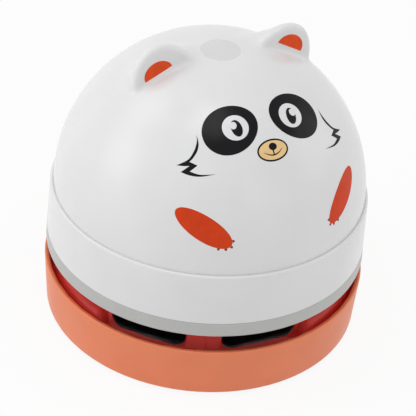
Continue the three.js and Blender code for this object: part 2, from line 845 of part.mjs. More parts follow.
function skirtShell() {
  const shell = revolveRing([
    [skirtInner(skirtBottom), skirtBottom],
    [skirtOuter(skirtBottom), skirtBottom],
    [skirtOuter(skirtTop - skirtEdge), skirtTop - skirtEdge],
    [skirtOuter(skirtTop) - skirtEdge, skirtTop],
    [skirtInner(skirtTop), skirtTop],
  ]);
  const lugs = trayScrewPlaces.map(([x, y]) => {
    const angle = (Math.atan2(x, -y) * 180) / Math.PI;
    const ring = Math.hypot(x, y);
    const reach = skirtInner(lugUnder) + weld;
    const bar = block(-lugWidth / 2, lugWidth / 2, -reach, -ring, lugUnder, lugTop);
    const tip = disc(lugWidth / 2, lugUnder, lugTop, 0, -ring);
    return turned(join(bar, tip), angle);
  });
  const holes = trayScrewPlaces.map(([x, y]) =>
    disc(lugHole, lugUnder - overrun, lugTop + overrun, x, y, screwSides),
  );
  const ledgeTop = domeFootTop + runGap + ledgeThickness;
  const ledgeInner = legOuter + runGap;
  const ledgeOuter = skirtInner(ledgeTop) + weld;
  const ledges = repeated(lockCount, domePhase, (angle) =>
    sector(
      ledgeInner,
      ledgeOuter,
      domeFootTop + runGap,
      ledgeTop,
      angle - ledgeStopSpan - turnSlack,
      angle + ledgeSpan,
    ),
  );
  const stop = (from) =>
    sector(
      ledgeInner + fineGap,
      ledgeOuter + fineGap,
      domeFootBottom,
      ledgeTop - ledgeThickness / 2,
      from,
      from + ledgeStopSpan,
      cornerSteps,
    );
  const farStop = 3 * turnSlack + domeFootSpan + domeTurn;
  const stops = repeated(lockCount, domePhase, (angle) =>
    join(stop(angle - ledgeStopSpan), stop(angle + farStop)),
  );
  const windowHalf = (knobWidth + knobTravel) / 2 + runGap;
  const windowHigh = knobHeight / 2 + runGap;
  const far = skirtBottomRadius + overrun;
  const window = block(
    -windowHalf,
    windowHalf,
    trayRadius,
    far,
    knobMiddle - windowHigh,
    knobMiddle + windowHigh,
  );
  const recessHalf = windowHalf + recessMargin;
  const recessHigh = windowHigh + recessMargin / 2;
  const recess = block(
    -recessHalf,
    recessHalf,
    skirtOuter(knobMiddle) - windowRecess,
    far,
    knobMiddle - recessHigh,
    knobMiddle + recessHigh,
  );
  return cut(join(shell, ...lugs, ...ledges, ...stops), ...holes, window, recess);
}

function impeller() {
  const bore = disc(shaftRadius + fineGap, bladeBottom - overrun, impellerTop + overrun);
  const plate = disc(impellerRadius, bladeTop, impellerTop, 0, 0, innerSides);
  const hub = disc(hubRadius, bladeBottom, impellerTop + eyeLipHeight);
  const outline = new THREE.Shape();
  const edge = (step, side) => {
    const share = step / bladeSteps;
    const radius = bladeRoot + (impellerRadius - bladeRoot) * share;
    const [x, y] = bearing(-bladeSweep * share).map((one) => one * radius);
    const [sideX, sideY] = bearing(90 - bladeSweep * share).map((one) => (one * side * bladeThickness) / 2);
    return [x + sideX, y + sideY];
  };
  outline.moveTo(...edge(0, 1));
  for (let i = 1; i <= bladeSteps; i += 1) outline.lineTo(...edge(i, 1));
  for (let i = bladeSteps; i >= 0; i -= 1) outline.lineTo(...edge(i, -1));
  const trim = disc(impellerRadius, bladeBottom - overrun, impellerTop, 0, 0, innerSides);
  const blade = prism(outline, bladeBottom, bladeTop + backplate / 2).intersect(trim);
  const blades = repeated(bladeCount, 0, (angle) => turned(blade, angle));
  return cut(join(plate, hub, ...blades), bore);
}

function motorCan() {
  const can = prism(motorOutline(0), motorBottom, canTop);
  const bore = disc(shaftRadius + runGap, motorBottom - overrun, motorBottom + shaftInCan + runGap);
  return cut(can, bore);
}

function motorCap() {
  const low = canTop + fineGap;
  const cap = prism(motorOutline(capInset), low, capTop);
  const boss = disc(bushingRadius, low, capTop + capInset);
  return join(cap, boss);
}

function motorBushing() {
  const high = motorBottom - fineGap;
  return revolveRing(
    [
      [shaftRadius + runGap, high - bushingLength],
      [bushingRadius, high - bushingLength],
      [bushingRadius, high],
      [shaftRadius + runGap, high],
    ],
    smallSides,
  );
}

function motorTerminal(side) {
  const low = capTop + fineGap;
  const middle = side * terminalOffset;
  return block(
    -terminalWidth / 2,
    terminalWidth / 2,
    middle - terminalThickness / 2,
    middle + terminalThickness / 2,
    low,
    low + terminalHeight,
  );
}

function batteryTray() {
  const plate = disc(trayRadius, trayUnder, trayTop, 0, 0, innerSides);
  const towerTop = trayTop + towerHeight;
  const tower = block(
    -towerHalfX - towerWall,
    towerHalfX + towerWall,
    -towerHalfY - towerWall,
    towerHalfY + towerWall,
    trayUnder,
    towerTop,
  );
  const motorWell = prism(motorOutline(-seatGap), trayUnder - overrun, towerTop + overrun);
  const walls = [-1, 1].map((side) => {
    const edges = [side * compartmentHalf, side * (compartmentHalf + endWall)].sort((a, b) => a - b);
    const wallTop = trayTop + endWallHeight;
    const wall = block(-endWallReach, endWallReach, edges[0], edges[1], trayUnder, wallTop);
    const dip = block(
      -towerHalfX - towerWall,
      towerHalfX + towerWall,
      edges[0] - overrun,
      edges[1] + overrun,
      wallTop - endWallDip,
      wallTop + overrun,
    );
    return cut(wall, dip);
  });
  const saddleLow = towerHalfX + towerWall - weld;
  const saddles = [-1, 1].flatMap((sideX) =>
    [-1, 1].map((sideY) => {
      const edges = [sideX * saddleLow, sideX * saddleOuter].sort((a, b) => a - b);
      const middle = sideY * saddleOffset;
      return block(
        edges[0],
        edges[1],
        middle - saddleWidth / 2,
        middle + saddleWidth / 2,
        trayUnder,
        trayTop + saddleHeight,
      );
    }),
  );
  const cellWells = [-1, 1].map((side) => {
    const geometry = new THREE.CylinderGeometry(
      cellRadius + seatGap,
      cellRadius + seatGap,
      2 * compartmentHalf - 2 * seatGap,
      cellSides,
    );
    return solid(geometry.translate(side * cellOffset, 0, cellHeight));
  });
  const holes = trayScrewPlaces.map(([x, y]) =>
    disc(lugHole, trayUnder - overrun, trayTop + overrun, x, y, screwSides),
  );
  const notch = block(
    -leadNotchWidth / 2,
    leadNotchWidth / 2,
    compartmentHalf + endWall,
    trayRadius + overrun,
    trayUnder - overrun,
    trayTop + overrun,
  );
  const outline = disc(trayRadius, trayUnder, trayTop + endWallHeight, 0, 0, innerSides);
  const whole = join(plate, tower, ...walls, ...saddles).intersect(outline);
  return cut(whole, motorWell, ...cellWells, ...holes, notch);
}

// A cell lying front to back, its nub towards +Y for side 1 and towards -Y for side -1.
function cell(side) {
  const half = cellLength / 2;
  const shoulder = half - nubLength;
  const can = revolve(
    [
      [0, -half],
      [cellRadius - cellShoulder, -half],
      [cellRadius, -half + cellShoulder],
      [cellRadius, shoulder - cellShoulder],
      [cellRadius - cellShoulder, shoulder],
      [nubRadius, shoulder],
      [nubRadius, half],
      [0, half],
    ],
    cellSides,
  );
  const geometry = geometryOf(can);
  geometry.rotateX((-side * Math.PI) / 2);
  const middle = side * (contactInner - seatGap - half);
  geometry.translate(-side * cellOffset, middle, cellHeight);
  return solid(geometry);
}

const contactOuter = cellOffset + contactWidth / 2;

// A contact plate at one end, between two places along X.
function contact(side, from, to) {
  const edges = [side * contactInner, side * (contactInner + contactThickness)].sort((a, b) => a - b);
  const low = cellHeight - contactHeight / 2;
  return block(from, to, edges[0], edges[1], low, low + contactHeight);
}

// A conical contact spring, its large end on the contact plate. Its gaps to itself are collected.
const springGaps = [];
function contactSpring(side) {
  const count = springTurns * coilSteps;
  const travel = springLength - springWire - 2 * seatGap;
  const points = [];
  for (let i = 0; i <= count; i += 1) {
    const share = i / count;
    const angle = 2 * Math.PI * springTurns * share;
    const radius = springLarge + (springSmall - springLarge) * share;
    const along = contactInner - seatGap - springWire / 2 - travel * share;
    points.push([
      side * cellOffset + radius * Math.cos(angle),
      side * along,
      cellHeight + radius * Math.sin(angle),
    ]);
  }
  const apart = coilSteps / 2;
  for (let i = 0; i <= count; i += 1) {
    for (let k = i + apart; k <= count; k += 1) {
      const [a, b] = [points[i], points[k]];
      springGaps.push(Math.hypot(a[0] - b[0], a[1] - b[1], a[2] - b[2]) - springWire);
    }
  }
  return tube(points, springWire / 2, coilSides, count);
}

const leadOver = capTop + terminalHeight + leadRise;
const leadStart = capTop + fineGap + terminalHeight + seatGap + leadRadius;
const leadWallTop = trayTop + endWallHeight - endWallDip;
const leadOverWall = trayTop + endWallHeight + leadStep + leadStep;
const leadBehind = compartmentHalf + endWall + leadRadius + seatGap;
const leadContact = cellHeight + contactHeight / 2 + seatGap + seatGap;
const contactMiddle = contactInner + contactThickness / 2;
const switchRear = switchBack - seatGap - leadRadius / 2;

const leads = {
  lead_switched: [
    [0, terminalOffset, leadStart],
    [leadRadius, terminalOffset + leadRise, leadOver],
    [leadStep, compartmentHalf / 2, leadOver - leadRise / 2],
    [switchedSide, leadBehind - leadStep, leadWallTop + leadRise],
    [switchedSide, leadBehind, trayTop],
    [switchedSide, leadBehind, knobMiddle + leadRise],
    [switchedSide, switchRear, knobMiddle + leadRadius],
  ],
  lead_supply: [
    [contactWidth / 2 - cellOffset, contactMiddle, leadContact],
    [supplyReach - cellOffset, compartmentHalf + leadRadius / 2, leadOverWall],
    [contactWidth - cellOffset, leadBehind, leadOverWall - leadRadius / 2],
    [-supplyBend, leadBehind, leadWallTop + leadRise],
    [-supplySide, leadBehind, trayTop],
    [-supplySide, leadBehind, knobMiddle + leadRise],
    [-supplySide, switchRear, knobMiddle + leadRadius],
  ],
  lead_return: [
    [0, -terminalOffset, leadStart],
    [switchedSide, leadRadius - terminalOffset, leadOver - leadRise / 2],
    [returnSide, terminalOffset + terminalOffset, leadOver - leadRise],
    [returnBend, contactInner - returnSide, cellHeight + contactHeight / 2 + leadRise],
    [cellOffset - contactWidth / 2, contactMiddle, leadContact],
  ],
};

const domeSpigotOuter = skirtInner(skirtTop) - seatGap - fineGap;
const domeSpigotInner = domeSpigotOuter - domeSpigotWall;
const domeFootRadius = skirtInner(skirtTop) - fineGap;
const legOuter = domeSpigotInner + domeLegWall;
const domeFootBottom = domeBottom - domeFootDepth;
const domeFootTop = domeFootBottom + domeFootThickness;

// The dome's radius at a share of its height, for an outside or inside of the size given.
const domeRadiusAt = (radius, share) =>
  radius * Math.max(1 - share ** domeCrownPower, 0) ** (1 / domeSidePower);

function domeProfile(radius, height, rings) {
  const points = [];
  for (let i = 0; i <= rings; i += 1) {
    const share = Math.sin((Math.PI / 2) * (i / rings));
    points.push([i === rings ? 0 : domeRadiusAt(radius, share), domeBottom + height * share]);
  }
  return points;
}

// An ear as a bowl of half an ellipsoid, cut flat at its front.
function earSolid(side, inset) {
  const ball = new THREE.SphereGeometry(1, earSides, earRings * 2);
  ball.scale(earHalfWidth - inset, earDepth - inset, earHeight + earSink - inset);
  const front = earHeight + earSink + overrun;
  const half = block(-front, front, inset, front, -front, front);
  const bowl = solid(ball).intersect(half);
  const geometry = geometryOf(bowl);
  geometry.translate(0, 0, -earSink);
  geometry.rotateY(radians(side * earLean));
  const share = (1 - (earOffset / domeRadius) ** domeSidePower) ** (1 / domeCrownPower);
  geometry.translate(side * earOffset, -earFront, domeBottom + domeHeight * share);
  return solid(geometry);
}

function domeCover() {
  const outerShape = revolve([[0, domeBottom], ...domeProfile(domeRadius, domeHeight, domeRings)]);
  const innerHeight = domeHeight - domeWall;
  const innerShape = revolve([
    [0, domeBottom - overrun],
    [domeRadius - domeWall, domeBottom - overrun],
    ...domeProfile(domeRadius - domeWall, innerHeight, hollowRings),
  ]);
  const ears = [-1, 1].map((side) => earSolid(side, 0));
  const earHollows = [-1, 1].map((side) => earSolid(side, earWall));
  const shell = cut(join(outerShape, ...ears), innerShape, ...earHollows);
  const spigot = revolveRing([
    [domeSpigotInner, domeBottom - domeSpigotDepth],
    [domeSpigotOuter, domeBottom - domeSpigotDepth],
    [domeSpigotOuter, domeBottom + domeSpigotWall],
    [domeSpigotInner, domeBottom + domeSpigotWall + domeWall / 2],
  ]);
  const legs = repeated(lockCount, domePhase + turnSlack, (angle) =>
    join(
      sector(
        domeSpigotInner,
        legOuter,
        domeFootBottom,
        domeBottom - domeSpigotDepth + weld,
        angle,
        angle + domeFootSpan,
      ),
      sector(
        domeSpigotInner,
        domeFootRadius,
        domeFootBottom,
        domeFootTop,
        angle,
        angle + domeFootSpan,
      ),
    ),
  );
  return join(shell, spigot, ...legs);
}

// Base
addPiece("base", "base_cup", baseCup(), coral);
addPiece("base", "brush_front", brushStrip(-1), bristle);
addPiece("base", "brush_rear", brushStrip(1), bristle);
addPiece("base", "seal_ring", sealRing(), foam);
repeated(footCount, footPhase, (angle) => bearing(angle)).forEach(([x, y], i) => {
  const pad = disc(footRadius, 0, floorUnder - seatGap, x * footRing, y * footRing);
  addPiece("base", `foot_${i + 1}`, pad, rubber);
});

// Head
addPiece("head", "fan_housing", fanHousing(), red);
addPiece("head", "filter_frame", filterFrame(), greyPlastic);
addPiece("head", "filter_mesh", filterMesh(), meshWhite);
addPiece("head", "motor_deck", motorDeck(), bandGrey);
addPiece("head", "skirt_shell", skirtShell(), white);
addPiece("head", "motor_can", motorCan(), steel);
addPiece("head", "motor_end_cap", motorCap(), blackPlastic);
addPiece("head", "motor_bushing", motorBushing(), brass);
addPiece("head", "motor_terminal_front", motorTerminal(-1), brass);
addPiece("head", "motor_terminal_rear", motorTerminal(1), brass);
addPiece("head", "battery_tray", batteryTray(), greyPlastic);
addPiece("head", "cell_left", cell(1), cellBody);
addPiece("head", "cell_right", cell(-1), cellBody);
addPiece("head", "contact_bridge", contact(-1, -contactOuter, contactOuter), steel);
addPiece("head", "contact_left", contact(1, -contactOuter, contactWidth - contactOuter), steel);
addPiece("head", "contact_right", contact(1, contactOuter - contactWidth, contactOuter), steel);
addPiece("head", "contact_spring_left", contactSpring(-1), steel);
addPiece("head", "contact_spring_right", contactSpring(1), steel);
addPiece("head", "switch_body", switchBody(), blackPlastic);
for (const [name, points] of Object.entries(leads)) {
  const color = name === "lead_return" ? blackPlastic : red;
  addPiece("head", name, tube(points, leadRadius, leadSides, leadSteps), color);
}
repeated(postCount, postPhase, (angle) => bearing(angle)).forEach(([x, y], i) => {
  const length = housingTop - housingBottom + seatGap + screwBite;
  const geometry = geometryOf(screw(housingBottom - fineGap, length));
  geometry.translate(x * housingScrewRing, y * housingScrewRing, 0);
  addPiece("head", `housing_screw_${i + 1}`, solid(geometry), steel);
});
trayScrewPlaces.forEach(([x, y], i) => {
  const bearingFace = trayTop + fineGap;
  const geometry = geometryOf(screw(0, bearingFace - pillarTop + screwBite));
  geometry.rotateX(Math.PI);
  geometry.translate(x, y, bearingFace);
  addPiece("head", `tray_screw_${i + 1}`, solid(geometry), steel);
});

// Impeller and its shaft
addPiece("impeller", "impeller", impeller(), greyPlastic);
addPiece("impeller", "motor_shaft", disc(shaftRadius, bladeBottom, motorBottom + shaftInCan), steel);

// Switch knob and dome
addPiece("switch", "switch_knob", switchKnob(), blackPlastic);
addPiece("dome", "dome_cover", domeCover(), white);

console.log("least gap of a contact spring to itself", Math.min(...springGaps).toFixed(2));

export default part;
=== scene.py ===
import math

import bmesh
import bpy
import numpy as np
from mathutils import Matrix, Vector


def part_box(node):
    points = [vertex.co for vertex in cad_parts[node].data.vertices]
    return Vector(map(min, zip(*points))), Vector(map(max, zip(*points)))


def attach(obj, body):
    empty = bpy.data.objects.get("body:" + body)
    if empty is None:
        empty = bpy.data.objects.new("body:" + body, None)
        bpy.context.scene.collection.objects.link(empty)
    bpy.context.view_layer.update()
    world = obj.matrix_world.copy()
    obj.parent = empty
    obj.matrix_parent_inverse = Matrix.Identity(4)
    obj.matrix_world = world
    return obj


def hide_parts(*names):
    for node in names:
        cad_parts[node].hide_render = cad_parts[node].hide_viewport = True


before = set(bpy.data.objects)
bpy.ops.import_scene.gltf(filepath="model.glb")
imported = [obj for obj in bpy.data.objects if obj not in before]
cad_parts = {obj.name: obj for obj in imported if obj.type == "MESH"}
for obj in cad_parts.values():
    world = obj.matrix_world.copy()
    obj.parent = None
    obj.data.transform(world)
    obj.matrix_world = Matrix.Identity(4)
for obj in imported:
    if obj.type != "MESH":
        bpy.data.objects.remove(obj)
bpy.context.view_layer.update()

MM = 0.001
UP = np.array([0.0, 0.0, 1.0])

# Fineness of the meshes
RING_SIDES = 256
FILLET_STEPS = 6
ARC_STEPS = 10
SMALL_STEPS = 3  # of a small part's fillets

# Coral base cup
CUP_DRAFT = 0.65  # how much wider the rim is than the bottom
CUP_EDGE = 0.5
CUP_RIM_EDGE = 0.42
SKIN = 0.7  # depth of the fine outer skin of a ring, less than its wall
LAP = 0.12  # how far a fine skin reaches into the wall behind it
SPARE = 1.0  # how far a cutter reaches past what it cuts, above and below
BEYOND = 5.0  # and outwards

# Red fan housing
HOUSING_RADIUS = 38.0
HOUSING_FLOOR_TOP = 11.5
HOUSING_SLOT_MIDDLE = 15.0
HOUSING_RIM_EDGE = 0.25
SLOT_HEIGHT = 6.0
SLOT_SPAN = 31.0  # degrees
SLOT_CORNER = 2.4
SLOT_OFFSET = 22.5  # degrees, of each slot from the middle of its pair
SLOT_BEVEL = 0.3
SLOT_STEPS = ((0.15, 0.55), (0.45, 0.2))  # shares of the bevel: how wide it is open, how deep
SLOT_LAP = 0.02
SLOT_ROOT = 3.0  # of the cutter inside the wall
SLOT_REACH = 4.0  # of the cutter outside the wall, past the sag of its flat end
WALL_FOOT = 0.5  # how deep the fine wall stands in the floor
WALL_CUT = 0.05  # over the floor, where the cut into the CAD wall starts
POST_COUNT = 3
POST_PHASE = 34.5  # degrees
POST_WIDTH = 1.2
POST_DEPTH = 0.8
POST_EDGE = 0.3
POST_ROOT = 0.5  # how deep a post stands in the wall
POST_DROP = 0.1  # of its top below the rim
RAMP_HALF_SPAN = 20.0  # degrees, of the slope between two pairs of slots
RAMP_FOOT = (41.2, 11.6)  # radius and height of its outer end
RAMP_MIDDLE = (40.7, 14.6)
RAMP_TOP = (38.0, 15.3)
RAMP_END = 3.0  # degrees over which it rises at either end
RAMP_END_RISE = 0.05  # share of its rise at its very ends
RAMP_ROOT = 0.4  # how deep it stands in the wall
RAMP_STEPS = (32, 12)  # round the wall and down the slope
PAINTED_SHADE_DEPTH = SLOT_BEVEL / 6  # how far behind the wall's outer face its faces are painted black as shade
PAINTED_SHADE_FROM = -1.0  # height from the floor where the inside starts to be painted black as shade
PAINTED_SHADE_BY_MIDDLE = 0.2  # and above which a face's middle decides, below it the farthest corner

# Light grey band
BAND_HEIGHT = 3.9
BAND_DRAFT = 0.2
BAND_LOW_EDGE = 0.4
BAND_TOP_EDGE = 0.1
BAND_CUT = 0.02  # over the band, where the cut into the CAD wall ends
TOUCH = 0.05  # what is left of the gap between two shells that seat on each other
SEAM_STEP = 0.35  # how deep the dome's edge stands in the skirt's top
SEAM_GAP = 0.01  # round the dome's edge there
SEAM_RISE = 0.2  # of the skirt's top towards the dome

# White skirt and its switch
SKIRT_TOP_EDGE = 0.45
SKIRT_LOW_EDGE = 0.1
SKIRT_DRAFT = 0.62
SKIRT_SKIN = 1.05
RECESS_DEPTH = 0.6
RECESS_HALF = (6.75, 3.5)
RECESS_CORNER = 1.6
RECESS_STEPS = ((-0.5, 0), (-0.15, 0.15), (0, 0.45), (0.1, 3))  # widening, height over its floor
WINDOW_HALF = (4.55, 2.4)
WINDOW_CORNER = 0.7
WINDOW_REACH = 3.0
KNOB_HALF = (2.75, 2.1)
KNOB_CORNER = 0.6
KNOB_TRAVEL = 3.0
KNOB_EDGE = 0.35
KNOB_STEPS = 5  # round its corners
KNOB_LAP = 0.3  # how far the knob and the pin reach into the flange
KNOB_RIBS = 4
RIB_HEIGHT = 0.35
RIB_CORNER = 0.12
RIB_INSET = 0.3  # of its two ends from the knob's edge
RIB_HALF = (0.5, 0.4)  # of an inner and of an outer rib, as shares of the pitch
RIB_STEPS = ((0, -1.0), (0, -0.2), (0.06, -0.06), (0.2, 0))  # narrowing, place from the crest
FLANGE_HALF = (6.5, 3.3)
FLANGE_CORNER = 0.3
FLANGE_DEPTH = 3.55  # of its face below the knob's
FLANGE_THICKNESS = 0.7
PIN_HALF = (0.8, 0.8)
PIN_CORNER = 0.2
PIN_EDGE = 0.1  # and the flange's

# Dome with its ears
DOME_RADIUS = 41.3
DOME_HEIGHT = 40.5
DOME_WALL = 1.6
DOME_SEAT = 0.3  # of the start of its profile above the skirt's top
CROWN_POWER = 1.92  # how full the dome's profile is
SIDE_POWER = 2.08
DOME_EDGE = 0.1
SPIGOT_DEPTH = 2.2
SPIGOT_RADII = (38.6, 40.1)
SPIGOT_EDGE = 0.3
SPIGOT_TOP = 1.5
EAR_OFFSET = 17.0
EAR_FRONT = 3.2
EAR_HALF_WIDTH = 9.8
EAR_DEPTH = 8.4
EAR_HEIGHT = 7.9
EAR_SINK = 8.0  # of the middle of an ear's oval below the dome's skin
EAR_LEAN = 24.0  # degrees
EAR_RIM_ROUNDING = 2.0
EAR_FRONT_BLEND = 1.4
EAR_BACK_BLEND = 6.0
EAR_BLEND_REACH = 6.0
VOXEL = 0.6
EVEN_ROUNDS = 4
ROUGH_FOOT = 5.0  # of the rough dome below the start of the profile
ROUGH_STEPS = 40
ROUGH_SIDES = 128
BALL_SIDES = (48, 32)
SKIN_FOOT = 2.0  # of the part that is moved onto the skin first
FINE_REACH = 14.0  # round the middle of an ear, where the mesh is finer
EDGE_STEPS = 4
HOLLOW_STEPS = 30
DOME_CREASE = 40  # degrees, the least that stays sharp

# Lock feet of the dome
LOCK_COUNT = 3
LOCK_PHASE = 9.4  # degrees, of a foot's first side
LOCK_SPAN = 9.6
LOCK_EDGE = 0.15
LEG_RADII = (38.6, 39.5)
LEG_LAP = 0.4  # how far a leg reaches into the spigot
FOOT_RADII = (38.6, 40.4)
FOOT_THICKNESS = 1.2

# Rubber feet, foam seal and brushes
PAD_SIDES = 64
PAD_EDGES = (0.15, 0.45)  # at its top and at its bottom
PAD_GROOVES = ((2.3, 0.25), (1.3, 0.25))  # radius and half width of each groove
GROOVE_DEPTH = 0.3
GROOVE_EDGE = 0.08
FOAM_WIDTH = 1.2
FOAM_EDGE = 0.2
BRUSH_BACK = 1.4
BRUSH_CORNER = 0.4
BRUSH_MARGIN = np.array([0.6, 0.15])  # from the outer strands to the edge of the back
BRUSH_ROWS = 5
BRUSH_COLUMNS = 88
BRUSH_SEED = 11
STRAND_RADIUS = 0.13
STRAND_TAPER = 0.35
STRAND_SIDES = 6
STRAND_RINGS = 5
STRAND_ROOT = 0.3
STRAND_START = 0.75  # of a row's first strand, as a share of the pitch
STRAND_SPLAY = 0.22
LEAN_SPREAD = 0.07
LENGTH_SPREAD = 0.06
BEND_SPREAD = 0.03

# Contact springs and leads
SPRING_WIRE = 0.6
SPRING_TURNS = 3
SPRING_RADII = (5.0, 2.4)  # of its largest and smallest turn
SPRING_STEPS = 40
WIRE_SIDES = 14

# Print and the round clear seal. Where the two sides differ, left is -1 and right is 1.
# An oval is given by its half width, half height, tilt in degrees, middle and egg shape.
INK = 0.02  # thickness of one layer of ink
INK_GLOSS = 0.14  # specular level of the ink, duller than the plastic
SINK = 0.05
CELL = 0.7  # spacing of a print's inner points
INK_ROUNDS = 12  # of settling its points on the skin
FACE_ANGLE = 20.0  # degrees, of an eye patch from the face's middle
EYE_HEIGHT = 69.7
EYE_SHIFT = {-1: (0.0, 0.0), 1: (0.15, 0.45)}
EYE_PATCH = (7.05, 6.0, -30, (0, 0), 0.06)
EYE_WHITE = (3.25, 3.2, 0, (-1.2, 0.4))
PUPIL = (1.35, 2.15, -20, (-1.15, 0.3))
PUPIL_SHIFT = {-1: (-0.35, -0.05), 1: (0.0, -0.12)}
GLINT = (0.8, 0.95, 0, (-0.35, 0.95))
CHEEK_ANGLE = 36.0
CHEEK_HEIGHT = 64.5
TUFT_SHIFT = {-1: (0.0, 0.0), 1: (0.9, 0.35)}
PAW_ANGLE = 28.6
PAW_HEIGHT = 50.6
PAW_SIZE = (8.0, 3.1)
PAW_EGG = -0.04
PAW_TILT = {-1: 29.0, 1: 37.0}
PAW_SHIFT = {-1: (0.45, -0.65), 1: (0.65, 0.0)}
CLAW_TURNS = (-20, 4, 25, 44)  # degrees round the paw's oval from its lower end
CLAW_LENGTH = 0.65
CLAW_HALF_WIDTH = 0.36
CLAW_SHAPE = ((0.0, -0.8), (0.35, -1.0), (0.75, -0.6), (1.0, 0.0), (0.75, 0.6), (0.35, 1.0),
              (0.0, 0.8), (0.12, 0.0))  # shares of its length and half width
MOON_PLACE = {-1: (1.25, 0.7), 1: (0.08, 1.7)}
MOON_SIZE = (3.88, 3.47)
MOON_LEAN = 3.2  # degrees beyond the ear's own
MOON_STEP = 6  # degrees between its points
MUZZLE_HEIGHT = 65.6
MUZZLE_EDGE = (4.15, 2.72, 3)
MUZZLE = (3.72, 2.3, 3)
NOSE = (1.05, 0.9, 0, (0.15, 0.85))
SMILE = [(-2.5, -0.25), (-1.3, -0.95), (0, -1.2), (1.3, -0.8), (2.6, 0.15)]
SMILE_WIDTHS = (0.05, 0.24, 0.32, 0.24, 0.05)
STEM = [(0, 0.2), (0.02, -0.5), (0, -1.15)]
STEM_WIDTHS = (0.3, 0.3, 0.3)
SEAL_RADIUS = 5.0
SEAL_PLACE = (-1.2, -1.9)

# Floor, in millimetres, and its light
FLOOR_HALF = 1500
FLOOR_CORNER = 200
FLOOR_STEPS = 8
FLOOR_COLOR = 0.86
FLOOR_GLOW = 0.9
WORLD_LIGHT = 0.62

# Lamps: name, angle, elevation, distance and size in metres, radiance
LAMPS = (
    ("left_window", -104, 22, 0.9, (0.5, 0.42), 2.0),
    ("left_top", -125, 48, 0.9, (0.42, 0.42), 1.6),
    ("front_window", 6, 20, 0.9, (0.2, 0.34), 0.8),
    ("right_wall", 70, 24, 1.0, (0.6, 0.5), 0.95),
    ("top_box", -45, 76, 0.9, (0.36, 0.36), 2.7),
)
LAMP_AIM = (0, 0, 0.04)

# The camera as solved from the photograph: angles in degrees, lengths in metres, places in pixels
CAMERA_ANGLE = -28.6
CAMERA_ELEVATION = 33.47
CAMERA_ROLL = 5.055
CAMERA_DISTANCE = 0.370
CAMERA_TARGET = np.array([0, 0, 0.041])
CLIP_START = 0.01
FOCAL_PIXELS = 1400
PHOTO_PIXELS = 416
TARGET_PIXEL = (210.7, 169.35)
SENSOR = 36  # width in millimetres


def box_of(node):
    """The two corners of a CAD node's box, in millimetres."""
    return [np.array(corner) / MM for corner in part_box(node)]


cup_low, cup_high = box_of("base_cup")
deck_low, deck_high = box_of("motor_deck")
skirt_low, skirt_high = box_of("skirt_shell")
knob_low, knob_high = box_of("switch_knob")
housing_top = box_of("fan_housing")[1][2]
dome_cad_low = box_of("dome_cover")[0][2]
band_bottom = deck_low[2]
band_top = band_bottom + BAND_HEIGHT
band_bottom_radius = deck_high[0]
cup_rim_radius = cup_high[0]
skirt_bottom_radius = skirt_high[0]
dome_bottom = skirt_high[2] + DOME_SEAT
dome_low = skirt_high[2] - SEAM_STEP + TOUCH
dome_start = dome_low + DOME_EDGE
knob_middle = (knob_low[2] + knob_high[2]) / 2


# Building shapes

def add_object(name, data):
    """A mesh, a lamp or a camera as a new object of the scene."""
    piece = bpy.data.objects.new(name, data)
    bpy.context.scene.collection.objects.link(piece)
    return piece


def closed(name, vertices, faces, merge=1e-5):
    """A mesh object with its doubles merged and its faces pointing out."""
    mesh = bpy.data.meshes.new(name)
    mesh.from_pydata([tuple(map(float, v)) for v in vertices], [], faces)
    form = bmesh.new()
    form.from_mesh(mesh)
    bmesh.ops.remove_doubles(form, verts=form.verts, dist=merge)
    bmesh.ops.dissolve_degenerate(form, edges=form.edges, dist=merge)
    bmesh.ops.recalc_face_normals(form, faces=form.faces)
    form.to_mesh(mesh)
    form.free()
    return add_object(name, mesh)


def bearing(degrees):
    return math.sin(math.radians(degrees)), -math.cos(math.radians(degrees))


def rounded(corners, steps=FILLET_STEPS):
    """The points of an outline whose corners are (across, up, fillet)."""
    points = []
    for i, (across, up, fillet) in enumerate(corners):
        here = np.array([across, up], float)
        if not fillet:
            points.append(here)
            continue
        back = np.array(corners[i - 1][:2]) - here
        on = np.array(corners[(i + 1) % len(corners)][:2]) - here
        back /= np.linalg.norm(back)
        on /= np.linalg.norm(on)
        half = math.acos(np.clip(back @ on, -1, 1)) / 2
        middle = here + (back + on) / np.linalg.norm(back + on) * fillet / math.sin(half)
        start = here + back * fillet / math.tan(half) - middle
        end = here + on * fillet / math.tan(half) - middle
        bend = math.pi - 2 * half
        for step in range(steps + 1):
            share = step / steps
            blend = math.sin((1 - share) * bend) * start + math.sin(share * bend) * end
            points.append(middle + blend / math.sin(bend))
    return points


def lathe(name, profile, sides=RING_SIDES, middle=(0, 0)):
    """A solid turned about the vertical axis. Its profile closes on itself or ends on the axis."""
    count = len(profile)
    loops = count if min(point[0] for point in profile) > 1e-6 else count - 1
    vertices = []
    for k in range(sides):
        x, y = bearing(360 * k / sides)
        vertices += [(middle[0] + r * x, middle[1] + r * y, z) for r, z in profile]
    faces = []
    for k in range(sides):
        here, there = k * count, (k + 1) % sides * count
        for i in range(loops):
            j = (i + 1) % count
            faces.append((here + i, here + j, there + j, there + i))
    return closed(name, vertices, faces)


def tube_faces(rings, count):
    """The faces of a closed tube through rings with the same number of points."""
    faces = []
    for below in range(0, (rings - 1) * count, count):
        above = below + count
        for i in range(count):
            j = (i + 1) % count
            faces.append((below + i, below + j, above + j, above + i))
    last = (rings - 1) * count
    return faces + [tuple(range(count)), tuple(range(last, last + count))]


def loft(name, sections):
    """A solid through closed sections with the same number of points."""
    points = [point for section in sections for point in section]
    return closed(name, points, tube_faces(len(sections), len(sections[0])))


def prism(name, outline, heights):
    """An upright solid with the same outline at its two heights."""
    return loft(name, [[(x, y, z) for x, y in outline] for z in heights])


